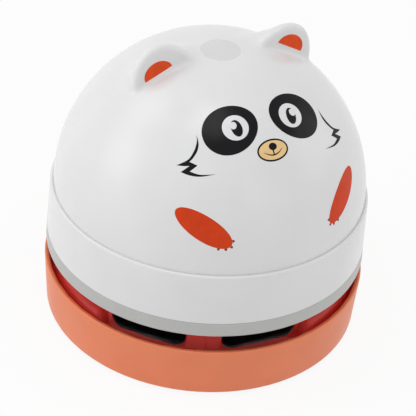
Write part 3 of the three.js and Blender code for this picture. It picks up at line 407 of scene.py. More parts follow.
def rectangle(half_across, half_up, corner, steps=ARC_STEPS):
    """A rectangle with round corners, with the same number of points for any size."""
    points = []
    for quarter, (side, top) in enumerate([(1, 1), (-1, 1), (-1, -1), (1, -1)]):
        for step in range(steps + 1):
            angle = math.pi / 2 * (quarter + step / steps)
            points.append((
                side * (half_across - corner) + corner * math.cos(angle),
                top * (half_up - corner) + corner * math.sin(angle),
            ))
    return np.array(points)


def facing_back(outline, y, x=0.0, z=0.0):
    """An outline of (across, up) points stood up in the plane at y."""
    return [(x + across, y, z + up) for across, up in outline]


def turn(piece, degrees):
    piece.data.transform(Matrix.Rotation(math.radians(degrees), 4, "Z"))
    return piece


def applied(piece):
    """Makes what its modifiers show the piece's own mesh."""
    bpy.context.view_layer.update()
    graph = bpy.context.evaluated_depsgraph_get()
    mesh = bpy.data.meshes.new_from_object(piece.evaluated_get(graph))
    piece.modifiers.clear()
    piece.data = mesh
    return piece


def combine(target, tool, operation):
    """Joins the tool to the target, or cuts it away, and removes the tool."""
    change = target.modifiers.new("combine", "BOOLEAN")
    change.operation = operation
    change.solver = "EXACT"
    change.object = tool
    applied(target)
    bpy.data.objects.remove(tool)


def joined(target, *tools):
    for tool in tools:
        combine(target, tool, "UNION")
    return target


def cut(target, *tools):
    for tool in tools:
        combine(target, tool, "DIFFERENCE")
    return target


def object_of(name, form):
    """A form as a new object. The form itself is freed."""
    mesh = bpy.data.meshes.new(name)
    form.to_mesh(mesh)
    form.free()
    return add_object(name, mesh)


def grouped(name, pieces):
    """Separate closed forms as one object."""
    form = bmesh.new()
    for piece in pieces:
        form.from_mesh(piece.data)
        bpy.data.objects.remove(piece)
    return object_of(name, form)


def sliced(form, spot, normal, **options):
    """Cuts all faces of a form along a plane."""
    whole = form.verts[:] + form.edges[:] + form.faces[:]
    bmesh.ops.bisect_plane(form, geom=whole, plane_co=spot, plane_no=normal, **options)


def cad_copy(node):
    """The CAD solid of a node as a new object, in millimetres."""
    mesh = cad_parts[node].data.copy()
    mesh.transform(Matrix.Scale(1 / MM, 4))
    form = bmesh.new()
    form.from_mesh(mesh)
    bmesh.ops.remove_doubles(form, verts=form.verts, dist=1e-3)
    form.to_mesh(mesh)
    form.free()
    return add_object(node + "_copy", mesh)


def place(piece, name, body, material, *nodes, sharp=35):
    """Names a finished form, turns it into metres, shades it and lets it ride on its body."""
    piece.name = name
    piece.data.name = name
    piece.data.transform(Matrix.Scale(MM, 4))
    piece.data.materials.clear()
    piece.data.materials.append(material)
    piece.data.polygons.foreach_set("use_smooth", [True] * len(piece.data.polygons))
    piece.data.set_sharp_from_angle(angle=math.radians(sharp))
    piece.data.update()
    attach(piece, body)
    if nodes:
        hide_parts(*nodes)
    return piece


# Materials

def nodes_of(owner):
    """The emptied node tree of a material or a world."""
    owner.use_nodes = True
    owner.node_tree.nodes.clear()
    return owner.node_tree


def added(tree, kind, inputs):
    """A new node, each input given joined to a socket or set to a value."""
    node = tree.nodes.new(kind)
    for name, value in inputs.items():
        if isinstance(value, bpy.types.NodeSocket):
            tree.links.new(value, node.inputs[name])
        else:
            node.inputs[name].default_value = value
    return node


def noise(tree, size, detail, stretch=(1, 1, 1)):
    """Noise whose features are about size millimetres long, fixed to the piece."""
    spot = tree.nodes.new("ShaderNodeTexCoord").outputs["Object"]
    mapping = added(tree, "ShaderNodeMapping", {"Vector": spot, "Scale": stretch})
    texture = added(tree, "ShaderNodeTexNoise", {
        "Vector": mapping.outputs["Vector"], "Scale": 1 / (size * MM), "Detail": detail,
    })
    return texture.outputs["Fac"]


def remap(tree, value, low, high, start=0.35, end=0.65):
    return added(tree, "ShaderNodeMapRange", {
        "Value": value, "From Min": start, "From Max": end, "To Min": low, "To Max": high,
    }).outputs["Result"]


def two_tone(tree, factor, first, second):
    node = added(tree, "ShaderNodeMix", {0: factor})
    node.data_type = "RGBA"
    for socket, tone in zip([s for s in node.inputs if s.type == "RGBA"], (first, second)):
        if isinstance(tone, (tuple, list)):
            socket.default_value = (*tone, 1)
        else:
            tree.links.new(tone, socket)
    return [s for s in node.outputs if s.type == "RGBA"][0]


GLOSS_SIZE = 1.7  # of the patches of gloss, in the size of the mottling


def plastic(name, color, roughness, mottle, mottle_size, grain, depth, uneven=0.04,
            stretch=(1, 1, 1), fleck=0.0, slot=None, **sockets):
    """A moulded or coated surface: faint uneven colour and gloss, and a fine grain in relief."""
    material = bpy.data.materials.new(name)
    tree = nodes_of(material)
    darker = tuple(v * (1 - mottle) for v in color)
    lighter = tuple(min(v * (1 + mottle), 1) for v in color)
    tone = two_tone(tree, remap(tree, noise(tree, mottle_size, 2), 0, 1), darker, lighter)
    grain_value = noise(tree, grain, 2, stretch)
    if fleck:
        dull = tuple(v * (1 - fleck) for v in color)
        tone = two_tone(tree, remap(tree, grain_value, 0, 1, start=0.58, end=0.7), tone, dull)
    patches = noise(tree, mottle_size * GLOSS_SIZE, 3)
    gloss = remap(tree, patches, roughness - uneven, roughness + uneven)
    relief = {"Strength": 1.0, "Distance": depth * MM, "Height": grain_value}
    bump = added(tree, "ShaderNodeBump", relief)
    inputs = {"Base Color": tone, "Roughness": gloss, "Normal": bump.outputs["Normal"]}
    for socket, value in sockets.items():
        inputs[socket.replace("_", " ").title().replace("Ior", "IOR")] = value
    shader = added(tree, "ShaderNodeBsdfPrincipled", inputs)
    added(tree, "ShaderNodeOutputMaterial", {"Surface": shader.outputs["BSDF"]})
    return material


def ink(name, color, roughness, mottle, mottle_size, slot=None):
    """A printed surface: a fine grain and less gloss than the plastic."""
    return plastic(name, color, roughness, mottle, mottle_size, 0.12, 0.002, slot=slot,
                   specular_ior_level=INK_GLOSS)


# Name, colour, roughness, depth and size of the mottling, size and depth of the grain
white = plastic("shell_white", (0.80, 0.80, 0.803), 0.225, 0.012, 12, 1.6, 0.0012, uneven=0.02,
                specular_ior_level=0.38)
coral = plastic("ring_coral", (0.86, 0.235, 0.100), 0.42, 0.02, 9, 0.22, 0.006,
                subsurface_weight=0.35, subsurface_radius=(1.0, 0.2, 0.1), subsurface_scale=0.004)
red = plastic("housing_red", (0.74, 0.050, 0.036), 0.36, 0.05, 7, 1.2, 0.002,
              specular_ior_level=0.22, subsurface_weight=0.35, subsurface_radius=(1.0, 0.15, 0.1),
              subsurface_scale=0.004)
band_grey = plastic("band_grey", (0.485, 0.49, 0.475), 0.4, 0.02, 7, 0.16, 0.012, fleck=0.11,
                    specular_ior_level=0.8)
inner_grey = plastic("inner_grey", (0.34, 0.35, 0.36), 0.45, 0.03, 7, 0.25, 0.008)
# Black plastic of the inner parts, also used as painted shade on the red housing's inside
inner_black = plastic("inner_black", (0.034, 0.029, 0.032), 0.42, 0.03, 7, 0.25, 0.008)
nylon = plastic("brush_nylon", (0.022, 0.022, 0.024), 0.4, 0.25, 0.6, 0.12, 0.004,
                stretch=(1, 1, 0.1))
foam = plastic("seal_foam", (0.045, 0.045, 0.048), 0.9, 0.2, 0.6, 0.25, 0.06, fleck=0.4)
rubber = plastic("foot_rubber", (0.024, 0.024, 0.025), 0.72, 0.1, 1.5, 0.18, 0.01)
cloth = plastic("filter_cloth", (0.66, 0.67, 0.67), 0.75, 0.06, 2, 0.12, 0.01)
steel = plastic("bright_steel", (0.62, 0.63, 0.65), 0.22, 0.05, 3, 0.2, 0.003, stretch=(1, 1, 12),
                metallic=1.0)
brass = plastic("contact_brass", (0.62, 0.42, 0.15), 0.33, 0.08, 2, 0.2, 0.003, metallic=1.0)
sleeve = plastic("cell_sleeve", (0.03, 0.13, 0.10), 0.34, 0.06, 5, 0.6, 0.003)
lead_red = plastic("lead_red", (0.42, 0.02, 0.015), 0.4, 0.08, 2, 0.3, 0.006)
lead_black = plastic("lead_black", (0.018, 0.018, 0.019), 0.4, 0.1, 2, 0.3, 0.006)
print_orange = ink("print_orange", (0.66, 0.052, 0.008), 0.34, 0.05, 2.5)
ear_orange = ink("ear_orange", (0.80, 0.082, 0.014), 0.34, 0.05, 2.5, "print_orange")
umber = ink("print_umber", (0.23, 0.030, 0.010), 0.34, 0.1, 1, "print_orange")
print_black = ink("print_black", (0.0045, 0.0041, 0.0055), 0.22, 0.15, 2.5)
print_tan = ink("print_tan", (0.87, 0.60, 0.29), 0.34, 0.04, 1.5)
print_white = plastic("print_white", (0.79, 0.79, 0.80), 0.22, 0.02, 2, 0.12, 0.002)
film = plastic("seal_film", (0.70, 0.70, 0.705), 0.36, 0.02, 2, 0.8, 0.002, alpha=0.17)

# The CAD nodes that are seen as they are
for material, names in (
    (inner_grey, ("filter_frame", "battery_tray")),
    (inner_black, ("motor_end_cap", "switch_body", "impeller")),
    (brass, ("motor_bushing", "motor_terminal_front", "motor_terminal_rear")),
    (sleeve, ("cell_left", "cell_right")),
    (cloth, ("filter_mesh",)),
    (steel, ("motor_can", "motor_shaft", "contact_bridge", "contact_left", "contact_right")),
    (steel, [f"housing_screw_{i}" for i in range(1, 4)]),
    (steel, [f"tray_screw_{i}" for i in range(1, 5)]),
):
    for name in names:
        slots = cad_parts[name].data.materials
        slots.clear()
        slots.append(material)


# Base cup: its fine outer wall round the CAD solid's inside

def cup_radius(height):
    share = (height - cup_low[2]) / (cup_high[2] - cup_low[2])
    return cup_rim_radius - CUP_DRAFT * (1 - share)


def wall_skin(name, radius_at, low, high, low_edge, high_edge, depth):
    """A fine ring from the outside of a wall to some depth, with its two outer edges rounded."""
    return lathe(name, rounded([
        (radius_at(low) - depth, low, 0),
        (radius_at(low), low, low_edge),
        (radius_at(high), high, high_edge),
        (radius_at(high) - depth, high, 0),
    ]))


def inside_of(node, radius_at, low, high, depth):
    """The CAD solid without the outer part of its wall."""
    shell = lathe("spare", [
        (radius_at(low) - depth, low),
        (radius_at(low) + BEYOND, low),
        (radius_at(high) + BEYOND, high),
        (radius_at(high) - depth, high),
    ])
    return cut(cad_copy(node), shell)


cup_inside = inside_of("base_cup", cup_radius, cup_low[2] - SPARE, cup_high[2] + SPARE, SKIN - LAP)
cup_wall = wall_skin("cup_wall", cup_radius, cup_low[2], cup_high[2], CUP_EDGE, CUP_RIM_EDGE, SKIN)
place(joined(cup_wall, cup_inside), "coral_cup", "base", coral, "base_cup")


# Feet, foam seal and brushes

def foot_pad(node):
    """A round pad with ring grooves in its underside."""
    low, high = box_of(node)
    middle = (low + high) / 2
    radius = (high[1] - low[1]) / 2
    corners = [(0, high[2], 0), (radius, high[2], PAD_EDGES[0]), (radius, low[2], PAD_EDGES[1])]
    for ring, half in PAD_GROOVES:
        corners += [
            (ring + half, low[2], GROOVE_EDGE), (ring + half, low[2] + GROOVE_DEPTH, 0),
            (ring - half, low[2] + GROOVE_DEPTH, 0), (ring - half, low[2], GROOVE_EDGE),
        ]
    corners.append((0, low[2], 0))
    return lathe("foot", rounded(corners, SMALL_STEPS), PAD_SIDES, middle[:2])


def foam_ring(node):
    """A flat ring of foam with soft edges."""
    low, high = box_of(node)
    outside = high[1]
    inside = outside - FOAM_WIDTH
    return lathe("seal", rounded([
        (inside, low[2], FOAM_EDGE), (outside, low[2], FOAM_EDGE),
        (outside, high[2], FOAM_EDGE), (inside, high[2], FOAM_EDGE),
    ], SMALL_STEPS))


for i in range(1, 5):
    place(foot_pad(f"foot_{i}"), f"rubber_foot_{i}", "base", rubber, f"foot_{i}")
place(foam_ring("seal_ring"), "foam_seal", "base", foam, "seal_ring")


def strand(foot, tip, bend):
    """The points of one tapered bristle, ring by ring from its root to its tip."""
    points = []
    for ring in range(STRAND_RINGS):
        share = ring / (STRAND_RINGS - 1)
        middle = foot + (tip - foot) * share + bend * math.sin(math.pi * share)
        radius = STRAND_RADIUS * (1 - STRAND_TAPER * share)
        for k in range(STRAND_SIDES):
            angle = 2 * math.pi * k / STRAND_SIDES
            points.append(middle + radius * np.array([math.cos(angle), math.sin(angle), 0]))
    return points


def brush(node):
    """A bar with staggered rows of strands, which splay and differ a little from each other."""
    low, high = box_of(node)
    back_low = high[2] - BRUSH_BACK
    half = (high - low) / 2
    middle = (low + high) / 2
    outline = rectangle(half[0], half[1], BRUSH_CORNER, SMALL_STEPS) + middle[:2]
    bar = prism("bar", outline, (back_low, high[2]))
    half = half[:2] - BRUSH_MARGIN
    sides = tube_faces(STRAND_RINGS, STRAND_SIDES)
    vertices, faces = [], []
    for row in range(BRUSH_ROWS):
        across = (row + 1) / (BRUSH_ROWS + 1) * 2 - 1
        for column in range(BRUSH_COLUMNS):
            along = (column + STRAND_START + row % 2 / 2) / (BRUSH_COLUMNS + STRAND_START) * 2 - 1
            foot = middle + np.array([along * half[0], across * half[1], 0])
            foot[2] = back_low + STRAND_ROOT
            tip = foot + draws.normal(0, LEAN_SPREAD, 3) + np.array([0, across * STRAND_SPLAY, 0])
            tip[2] = low[2] + abs(draws.normal(0, LENGTH_SPREAD))
            faces += [tuple(len(vertices) + v for v in face) for face in sides]
            vertices += strand(foot, tip, draws.normal(0, BEND_SPREAD, 3) * (1, 1, 0))
    return grouped(node, [bar, closed("strands", vertices, faces, 1e-7)])


draws = np.random.default_rng(BRUSH_SEED)
for node in ("brush_front", "brush_rear"):
    place(brush(node), node + "_nylon", "base", nylon, node)


# Contact springs and leads inside the head

def wire(name, points, radius, sides=WIRE_SIDES):
    """A round wire through the points, its sections kept from twisting."""
    points = np.array(points, float)
    along = np.gradient(points, axis=0)
    along /= np.linalg.norm(along, axis=1)[:, None]
    side = np.cross(along[0], UP)
    side /= np.linalg.norm(side)
    angles = 2 * math.pi * np.arange(sides) / sides
    sections = []
    for point, ahead in zip(points, along):
        side = side - ahead * (side @ ahead)
        side /= np.linalg.norm(side)
        over = np.cross(ahead, side)
        ring = [math.cos(angle) * side + math.sin(angle) * over for angle in angles]
        sections.append([point + radius * spoke for spoke in ring])
    return loft(name, sections)


def spring(word):
    """A conical coil at one end of a cell."""
    low, high = box_of(f"contact_spring_{word}")
    cell_low, cell_high = box_of(f"cell_{word}")
    middle = (cell_low + cell_high) / 2
    facing = 1 if low[1] + high[1] > 0 else -1
    start, end = (high[1] - SPRING_WIRE / 2, low[1] + SPRING_WIRE / 2)[::facing]
    points = []
    for step in range(SPRING_TURNS * SPRING_STEPS + 1):
        share = step / (SPRING_TURNS * SPRING_STEPS)
        angle = 2 * math.pi * SPRING_TURNS * share
        radius = SPRING_RADII[0] + (SPRING_RADII[1] - SPRING_RADII[0]) * share
        points.append((middle[0] + radius * math.cos(angle), start + (end - start) * share,
                       middle[2] + radius * math.sin(angle)))
    return wire("spring", points, SPRING_WIRE / 2)


def softened(node):
    """The CAD solid of a lead as a smooth round form."""
    form = cad_copy(node)
    form.modifiers.new("smooth", "SUBSURF").levels = 2
    return applied(form)


for word in ("left", "right"):
    place(spring(word), f"fine_spring_{word}", "head", steel, f"contact_spring_{word}")
for node, material in (
    ("lead_switched", lead_red), ("lead_supply", lead_red), ("lead_return", lead_black),
):
    place(softened(node), f"round_{node}", "head", material, node)


# Fan housing: red wall with bevelled slots, its inside painted black as shade

def housing_radius(height):
    return HOUSING_RADIUS


wall_low = HOUSING_FLOOR_TOP - WALL_FOOT
wall_inside = inside_of("fan_housing", housing_radius, HOUSING_FLOOR_TOP + WALL_CUT,
                        housing_top + SPARE, SKIN - LAP)
wall = wall_skin("housing_wall", housing_radius, wall_low, housing_top, 0, HOUSING_RIM_EDGE, SKIN)
slot_half_width = HOUSING_RADIUS * math.sin(math.radians(SLOT_SPAN / 2))


def slot_cutter():
    """A slot through the wall at the face's side, opening out in a bevel at its outer face."""
    steps = [(0, SLOT_ROOT), (0, SLOT_BEVEL + SLOT_LAP)]
    steps += [(wide * SLOT_BEVEL, deep * SLOT_BEVEL) for wide, deep in SLOT_STEPS]
    steps += [(SLOT_BEVEL, -SLOT_LAP), (SLOT_BEVEL, -SLOT_REACH)]
    sections = []
    for inset, depth in steps:
        outline = rectangle(slot_half_width + inset, SLOT_HEIGHT / 2 + inset, SLOT_CORNER + inset)
        sections.append(facing_back(outline, depth - HOUSING_RADIUS, z=HOUSING_SLOT_MIDDLE))
    return sections


def around_wall(sections):
    """Bends a cutter's sections round the axis, so that its depth runs along the radius."""
    bent = []
    for section in sections:
        bent.append([])
        for x, y, z in section:
            angle = math.asin(np.clip(x / HOUSING_RADIUS, -1, 1))
            bent[-1].append((-y * math.sin(angle), y * math.cos(angle), z))
    return bent


def ramp(middle):
    """A slope from the wall down to the flange, lower at its two ends."""
    foot, control, top = [np.array(point) for point in (RAMP_FOOT, RAMP_MIDDLE, RAMP_TOP)]
    line = []
    for share in np.linspace(0, 1, RAMP_STEPS[1] + 1):
        line.append((1 - share) ** 2 * foot + 2 * share * (1 - share) * control + share ** 2 * top)
    sections = []
    root = HOUSING_RADIUS - RAMP_ROOT
    for angle in np.linspace(-RAMP_HALF_SPAN, RAMP_HALF_SPAN, RAMP_STEPS[0] + 1):
        share = min((RAMP_HALF_SPAN - abs(angle)) / RAMP_END + RAMP_END_RISE, 1)
        rise = math.sin(math.pi / 2 * share)
        points = [(root, wall_low), (RAMP_FOOT[0], wall_low)]
        points += [(r, wall_low + (z - wall_low) * rise) for r, z in line]
        points.append((root, points[-1][1]))
        x, y = bearing(middle + angle)
        sections.append([(r * x, r * y, z) for r, z in points])
    return loft("ramp", sections)


def wall_post():
    """The post between two pairs of slots, at the face's side."""
    inside = -HOUSING_RADIUS + POST_ROOT
    outside = -HOUSING_RADIUS - POST_DEPTH
    outline = rounded([
        (-POST_WIDTH / 2, inside, 0), (-POST_WIDTH / 2, outside, POST_EDGE),
        (POST_WIDTH / 2, outside, POST_EDGE), (POST_WIDTH / 2, inside, 0),
    ])
    return prism("post", outline, (wall_low, housing_top - POST_DROP))


def gets_painted_shade(mesh, face):
    """Whether a face of the housing lies inside its red outer surface, where it is painted black
    as shade.
    """
    above_floor = face.center.z / MM - HOUSING_FLOOR_TOP
    if above_floor > PAINTED_SHADE_BY_MIDDLE:
        reach = face.center.xy.length / MM
    else:
        reach = max(mesh.vertices[v].co.xy.length for v in face.vertices) / MM
    return reach < HOUSING_RADIUS - PAINTED_SHADE_DEPTH and above_floor > PAINTED_SHADE_FROM


post_pitch = 360 / POST_COUNT
for pair in range(POST_COUNT):
    for offset in (-SLOT_OFFSET, SLOT_OFFSET):
        middle = POST_PHASE + post_pitch * (pair + 0.5) + offset
        cut(wall, turn(loft("slot", around_wall(slot_cutter())), middle))
for post in range(POST_COUNT):
    middle = POST_PHASE + post_pitch * post
    joined(wall, turn(wall_post(), middle), ramp(middle))
housing = place(joined(wall, wall_inside), "red_housing", "head", red, "fan_housing")
# The inner faces get the black material: painted shade for the dark inside seen through the slots
housing.data.materials.append(inner_black)
for face in housing.data.polygons:
    if gets_painted_shade(housing.data, face):
        face.material_index = 1


# Light grey band and the deck inside it

def band_radius(height):
    return band_bottom_radius - BAND_DRAFT * (height - band_bottom) / BAND_HEIGHT


deck_inside = inside_of("motor_deck", band_radius, band_bottom - SPARE, band_top + BAND_CUT,
                        SKIN - LAP)
band = wall_skin("band", band_radius, band_bottom, band_top, BAND_LOW_EDGE, BAND_TOP_EDGE, SKIN)
place(joined(band, deck_inside), "grey_deck", "head", band_grey, "motor_deck")


# White skirt with the switch's recess at its back

def skirt_radius(height):
    share = (height - skirt_low[2]) / (skirt_high[2] - skirt_low[2])
    return skirt_bottom_radius - SKIRT_DRAFT * share


def seam_cutter():
    """The step in the skirt's top that the dome's edge stands in."""
    inside, outside = SPIGOT_RADII[1] - SPARE, DOME_RADIUS + SEAM_GAP
    low, high = skirt_high[2] - SEAM_STEP, skirt_high[2] + SPARE
    return lathe("seam_step", [(inside, low), (outside, low), (outside, high), (inside, high)])


skirt_inside = inside_of("skirt_shell", skirt_radius, skirt_low[2] - SPARE, skirt_high[2] + SPARE,
                         SKIRT_SKIN - LAP)
skirt_foot = band_top + TOUCH
skirt_top_radius = skirt_radius(skirt_high[2])
skirt = lathe("skirt", rounded([
    (skirt_radius(skirt_foot) - SKIRT_SKIN, skirt_foot, 0),
    (skirt_radius(skirt_foot), skirt_foot, SKIRT_LOW_EDGE),
    (skirt_top_radius, skirt_high[2], SKIRT_TOP_EDGE),
    (DOME_RADIUS + SEAM_GAP, skirt_high[2] + SEAM_RISE, 0),
    (skirt_top_radius - SKIRT_SKIN, skirt_high[2] + SEAM_RISE, 0),
]))
recess_floor = skirt_radius(knob_middle) - RECESS_DEPTH
window = loft("window", [
    facing_back(rectangle(*WINDOW_HALF, WINDOW_CORNER), y, z=knob_middle)
    for y in (recess_floor - WINDOW_REACH, recess_floor + WINDOW_REACH)
])
recess = loft("recess", [
    facing_back(rectangle(RECESS_HALF[0] + inset, RECESS_HALF[1] + inset, RECESS_CORNER + inset),
                recess_floor + rise, z=knob_middle)
    for inset, rise in RECESS_STEPS
])
whole_skirt = cut(joined(skirt, skirt_inside), recess, window, seam_cutter())
place(whole_skirt, "white_skirt", "head", white, "skirt_shell")


# Switch knob with its ribs, flange and pin

knob_x = -KNOB_TRAVEL / 2
knob_face = knob_high[1]
rib_pitch = 2 * KNOB_HALF[0] / (2 * KNOB_RIBS - 1)


def soft_block(name, half, corner, y_low, y_high, edge, steps=4):
    """A block seen from the back with round corners and a round edge at its outer face."""
    sections = [facing_back(rectangle(*half, corner, KNOB_STEPS), y_low, knob_x, knob_middle)]
    for step in range(steps + 1):
        angle = math.pi / 2 * step / steps
        inset = edge * (1 - math.cos(angle))
        outline = rectangle(half[0] - inset, half[1] - inset, corner, KNOB_STEPS)
        y = y_high - edge + edge * math.sin(angle)
        sections.append(facing_back(outline, y, knob_x, knob_middle))
    return loft(name, sections)


def knob_rib(i):
    """A grip rib across the knob, the outer ones narrower."""
    x = knob_x - KNOB_HALF[0] + rib_pitch * (2 * i + 0.5)
    half = rib_pitch * RIB_HALF[i in (0, KNOB_RIBS - 1)]
    sections = []
    for inset, y in RIB_STEPS:
        half_up = KNOB_HALF[1] - RIB_INSET - inset
        outline = rectangle(half - inset, half_up, RIB_CORNER, SMALL_STEPS)
        sections.append(facing_back(outline, knob_face + y, x, knob_middle))
    return loft("rib", sections)


flange_face = knob_face - FLANGE_DEPTH
knob_root = flange_face - KNOB_LAP
cap = soft_block("cap", KNOB_HALF, KNOB_CORNER, knob_root, knob_face - RIB_HEIGHT, KNOB_EDGE)
flange = soft_block("flange", FLANGE_HALF, FLANGE_CORNER, flange_face - FLANGE_THICKNESS,
                    flange_face, PIN_EDGE)
pin = soft_block("pin", PIN_HALF, PIN_CORNER, knob_low[1], knob_root, PIN_EDGE)
ribs = [knob_rib(i) for i in range(KNOB_RIBS)]
place(joined(cap, flange, pin, *ribs), "slide_knob", "switch", inner_black, "switch_knob")


# Dome with its ears as one smooth skin

def smooth_least(first, second, blend):
    overlap = np.maximum(blend - np.abs(first - second), 0) / blend
    return np.minimum(first, second) - overlap ** 2 * blend / 4


def dome_distance(points):
    share = np.maximum(points[:, 2] - dome_bottom, 0) / DOME_HEIGHT
    reach = np.hypot(points[:, 0], points[:, 1]) / DOME_RADIUS
    return DOME_RADIUS * (np.sqrt(reach ** SIDE_POWER + share ** CROWN_POWER) - 1)


ear_share = (1 - (EAR_OFFSET / DOME_RADIUS) ** SIDE_POWER) ** (1 / CROWN_POWER)
ear_height = dome_bottom + DOME_HEIGHT * ear_share


def ear_axes(side):
    """The middle of an ear's front face, and the directions across it and up it."""
    lean = math.radians(side * EAR_LEAN)
    middle = np.array([side * EAR_OFFSET, -EAR_FRONT, ear_height])
    across = np.array([math.cos(lean), 0, -math.sin(lean)])
    return middle, across, np.array([math.sin(lean), 0, math.cos(lean)])


def ear_distance(points, side):
    middle, across, up = ear_axes(side)
    from_middle = points - (middle - EAR_SINK * up)
    local = np.stack([from_middle @ across, from_middle[:, 1], from_middle @ up], 1)
    sizes = np.array([EAR_HALF_WIDTH, EAR_DEPTH, EAR_HEIGHT + EAR_SINK])
    first = np.linalg.norm(local / sizes, axis=1)
    second = np.maximum(np.linalg.norm(local / sizes ** 2, axis=1), 1e-6)
    ball = first * (first - 1) / second
    return -smooth_least(-ball, local[:, 1], EAR_RIM_ROUNDING), local[:, 1]


def skin_distance(points):
    """How far points are from the dome's outside, ears included, less inside."""
    whole = dome_distance(points)
    for side in (-1, 1):
        ear, behind = ear_distance(points, side)
        share = np.clip(behind / EAR_BLEND_REACH, 0, 1)
        blend = EAR_FRONT_BLEND + (EAR_BACK_BLEND - EAR_FRONT_BLEND) * share ** 2 * (3 - 2 * share)
        whole = smooth_least(whole, ear, blend)
    return whole


def skin_normals(points):
    slopes = []
    for step in 1e-3 * np.eye(3):
        slopes.append(skin_distance(points + step) - skin_distance(points - step))
    slopes = np.stack(slopes, 1)
    return slopes / np.linalg.norm(slopes, axis=1)[:, None]


def onto_skin(points, rounds=8):
    """Moves points along the skin's normal until they lie on it."""
    for _ in range(rounds):
        points = points - skin_normals(points) * skin_distance(points)[:, None]
    return points


def profile_radius(radius, share):
    return radius * max(1 - share ** CROWN_POWER, 0) ** (1 / SIDE_POWER)


def rough_dome():
    """A closed, even mesh near the skin, from the dome's turned solid and two balls."""
    below = dome_bottom - ROUGH_FOOT
    profile = [(0, below), (DOME_RADIUS, below)]
    for i in range(ROUGH_STEPS):
        share = math.sin(math.pi / 2 * i / ROUGH_STEPS)
        profile.append((profile_radius(DOME_RADIUS, share), dome_bottom + DOME_HEIGHT * share))
    profile.append((0, dome_bottom + DOME_HEIGHT))
    forms = [lathe("dome", profile, ROUGH_SIDES)]
    for side in (-1, 1):
        middle, across, up = ear_axes(side)
        ball = bmesh.new()
        around, upwards = BALL_SIDES
        bmesh.ops.create_uvsphere(ball, u_segments=around, v_segments=upwards, radius=1)
        for vertex in ball.verts:
            x, y, z = vertex.co
            spot = middle - up * EAR_SINK + across * x * EAR_HALF_WIDTH
            spot += up * z * (EAR_HEIGHT + EAR_SINK)
            spot[1] += max(y, 0) * EAR_DEPTH
            vertex.co = spot
        forms.append(object_of("ear", ball))
    rough = grouped("dome_skin", forms)
    even = rough.modifiers.new("even", "REMESH")
    even.mode = "VOXEL"
    even.voxel_size = VOXEL
    rough.modifiers.new("smooth", "SMOOTH").iterations = EVEN_ROUNDS
    return applied(rough)


def vertices_of(form):
    return np.array([vertex.co for vertex in form.verts], float)


def move_to(form, points):
    for vertex, point in zip(form.verts, points):
        vertex.co = point


def outer_skin(form):
    """Lays a rough mesh on the skin, makes it finer round the ears and cuts it off level."""
    points = vertices_of(form)
    high = points[:, 2] > dome_bottom - SKIN_FOOT
    points[high] = onto_skin(points[high])
    move_to(form, points)
    middles = [Vector(ear_axes(side)[0]) for side in (-1, 1)]
    near = []
    for edge in form.edges:
        if min((edge.verts[0].co - middle).length for middle in middles) < FINE_REACH:
            near.append(edge)
    bmesh.ops.subdivide_edges(form, edges=near, cuts=1, use_grid_fill=True)
    sliced(form, (0, 0, dome_start), UP, dist=1e-6, clear_inner=True)
    points = vertices_of(form)
    rim = np.abs(points[:, 2] - dome_start) < 1e-4
    points = onto_skin(points)
    points[rim, 2] = dome_start
    move_to(form, points)


def lower_rings():
    """The rings below and inside the skin: its round lower edge, its spigot and its hollow."""
    rings = []
    for step in range(1, EDGE_STEPS + 1):
        angle = math.pi / 2 * step / EDGE_STEPS
        rings.append((DOME_RADIUS - DOME_EDGE * (1 - math.cos(angle)),
                      dome_start - DOME_EDGE * math.sin(angle)))
    inner, outer = SPIGOT_RADII
    spigot_low = dome_bottom - SPIGOT_DEPTH
    rings += rounded([
        (outer, dome_low, 0), (outer, spigot_low, SPIGOT_EDGE),
        (inner, spigot_low, SPIGOT_EDGE), (inner, dome_bottom + SPIGOT_TOP, 0),
    ], SMALL_STEPS)
    for i in range(1, HOLLOW_STEPS - 1):
        share = math.sin(math.pi / 2 * i / HOLLOW_STEPS)
        radius = profile_radius(DOME_RADIUS - DOME_WALL, share)
        if radius < inner:
            rings.append((radius, dome_bottom + (DOME_HEIGHT - DOME_WALL) * share))
    return rings


def dome_shell():
    """The dome as one closed mesh, with the skin's own normals for its outer points."""
    rough = rough_dome()
    form = bmesh.new()
    form.from_mesh(rough.data)
    outer_skin(form)
    outer_count = len(form.verts)
    loop = [edge for edge in form.edges if edge.is_boundary]
    for radius, height in lower_rings():
        made = bmesh.ops.extrude_edge_only(form, edges=loop)["geom"]
        for vertex in (one for one in made if isinstance(one, bmesh.types.BMVert)):
            reach = math.hypot(vertex.co.x, vertex.co.y)
            vertex.co = (vertex.co.x * radius / reach, vertex.co.y * radius / reach, height)
        loop = [one for one in made if isinstance(one, bmesh.types.BMEdge)]
    bmesh.ops.contextual_create(form, geom=loop)
    bmesh.ops.recalc_face_normals(form, faces=form.faces)
    normals = np.zeros((len(form.verts), 3))
    normals[:outer_count] = skin_normals(vertices_of(form)[:outer_count])
    form.to_mesh(rough.data)
    form.free()
    return rough, normals


dome, dome_normals = dome_shell()
place(dome, "white_dome", "dome", white, "dome_cover", sharp=DOME_CREASE)
dome.data.normals_split_custom_set_from_vertices(dome_normals.tolist())


# The dome's lock feet, below its spigot

def arc_block(radii, low, high, start, span, edge, steps=12):
    """A block that follows the wall, with its outer edges broken at its lower end."""
    sections = []
    for inset, height in ((edge, low), (0, low + edge), (0, high)):
        around = math.degrees(inset / radii[1])
        angles = np.linspace(start + around, start + span - around, steps)
        outer = [(radii[1] - inset) * np.array(bearing(angle)) for angle in angles]
        inner = [(radii[0] + inset) * np.array(bearing(angle)) for angle in angles[::-1]]
        sections.append([(x, y, height) for x, y in outer + inner])
    return loft("lock", sections)


def lock(start):
    """A leg below the spigot with its foot, from its first side on."""
    leg_low = dome_cad_low + LOCK_EDGE
    leg_high = dome_bottom - SPIGOT_DEPTH + LEG_LAP
    foot_high = dome_cad_low + FOOT_THICKNESS
    leg = arc_block(LEG_RADII, leg_low, leg_high, start, LOCK_SPAN, 0)
    return joined(leg, arc_block(FOOT_RADII, dome_cad_low, foot_high, start, LOCK_SPAN, LOCK_EDGE))


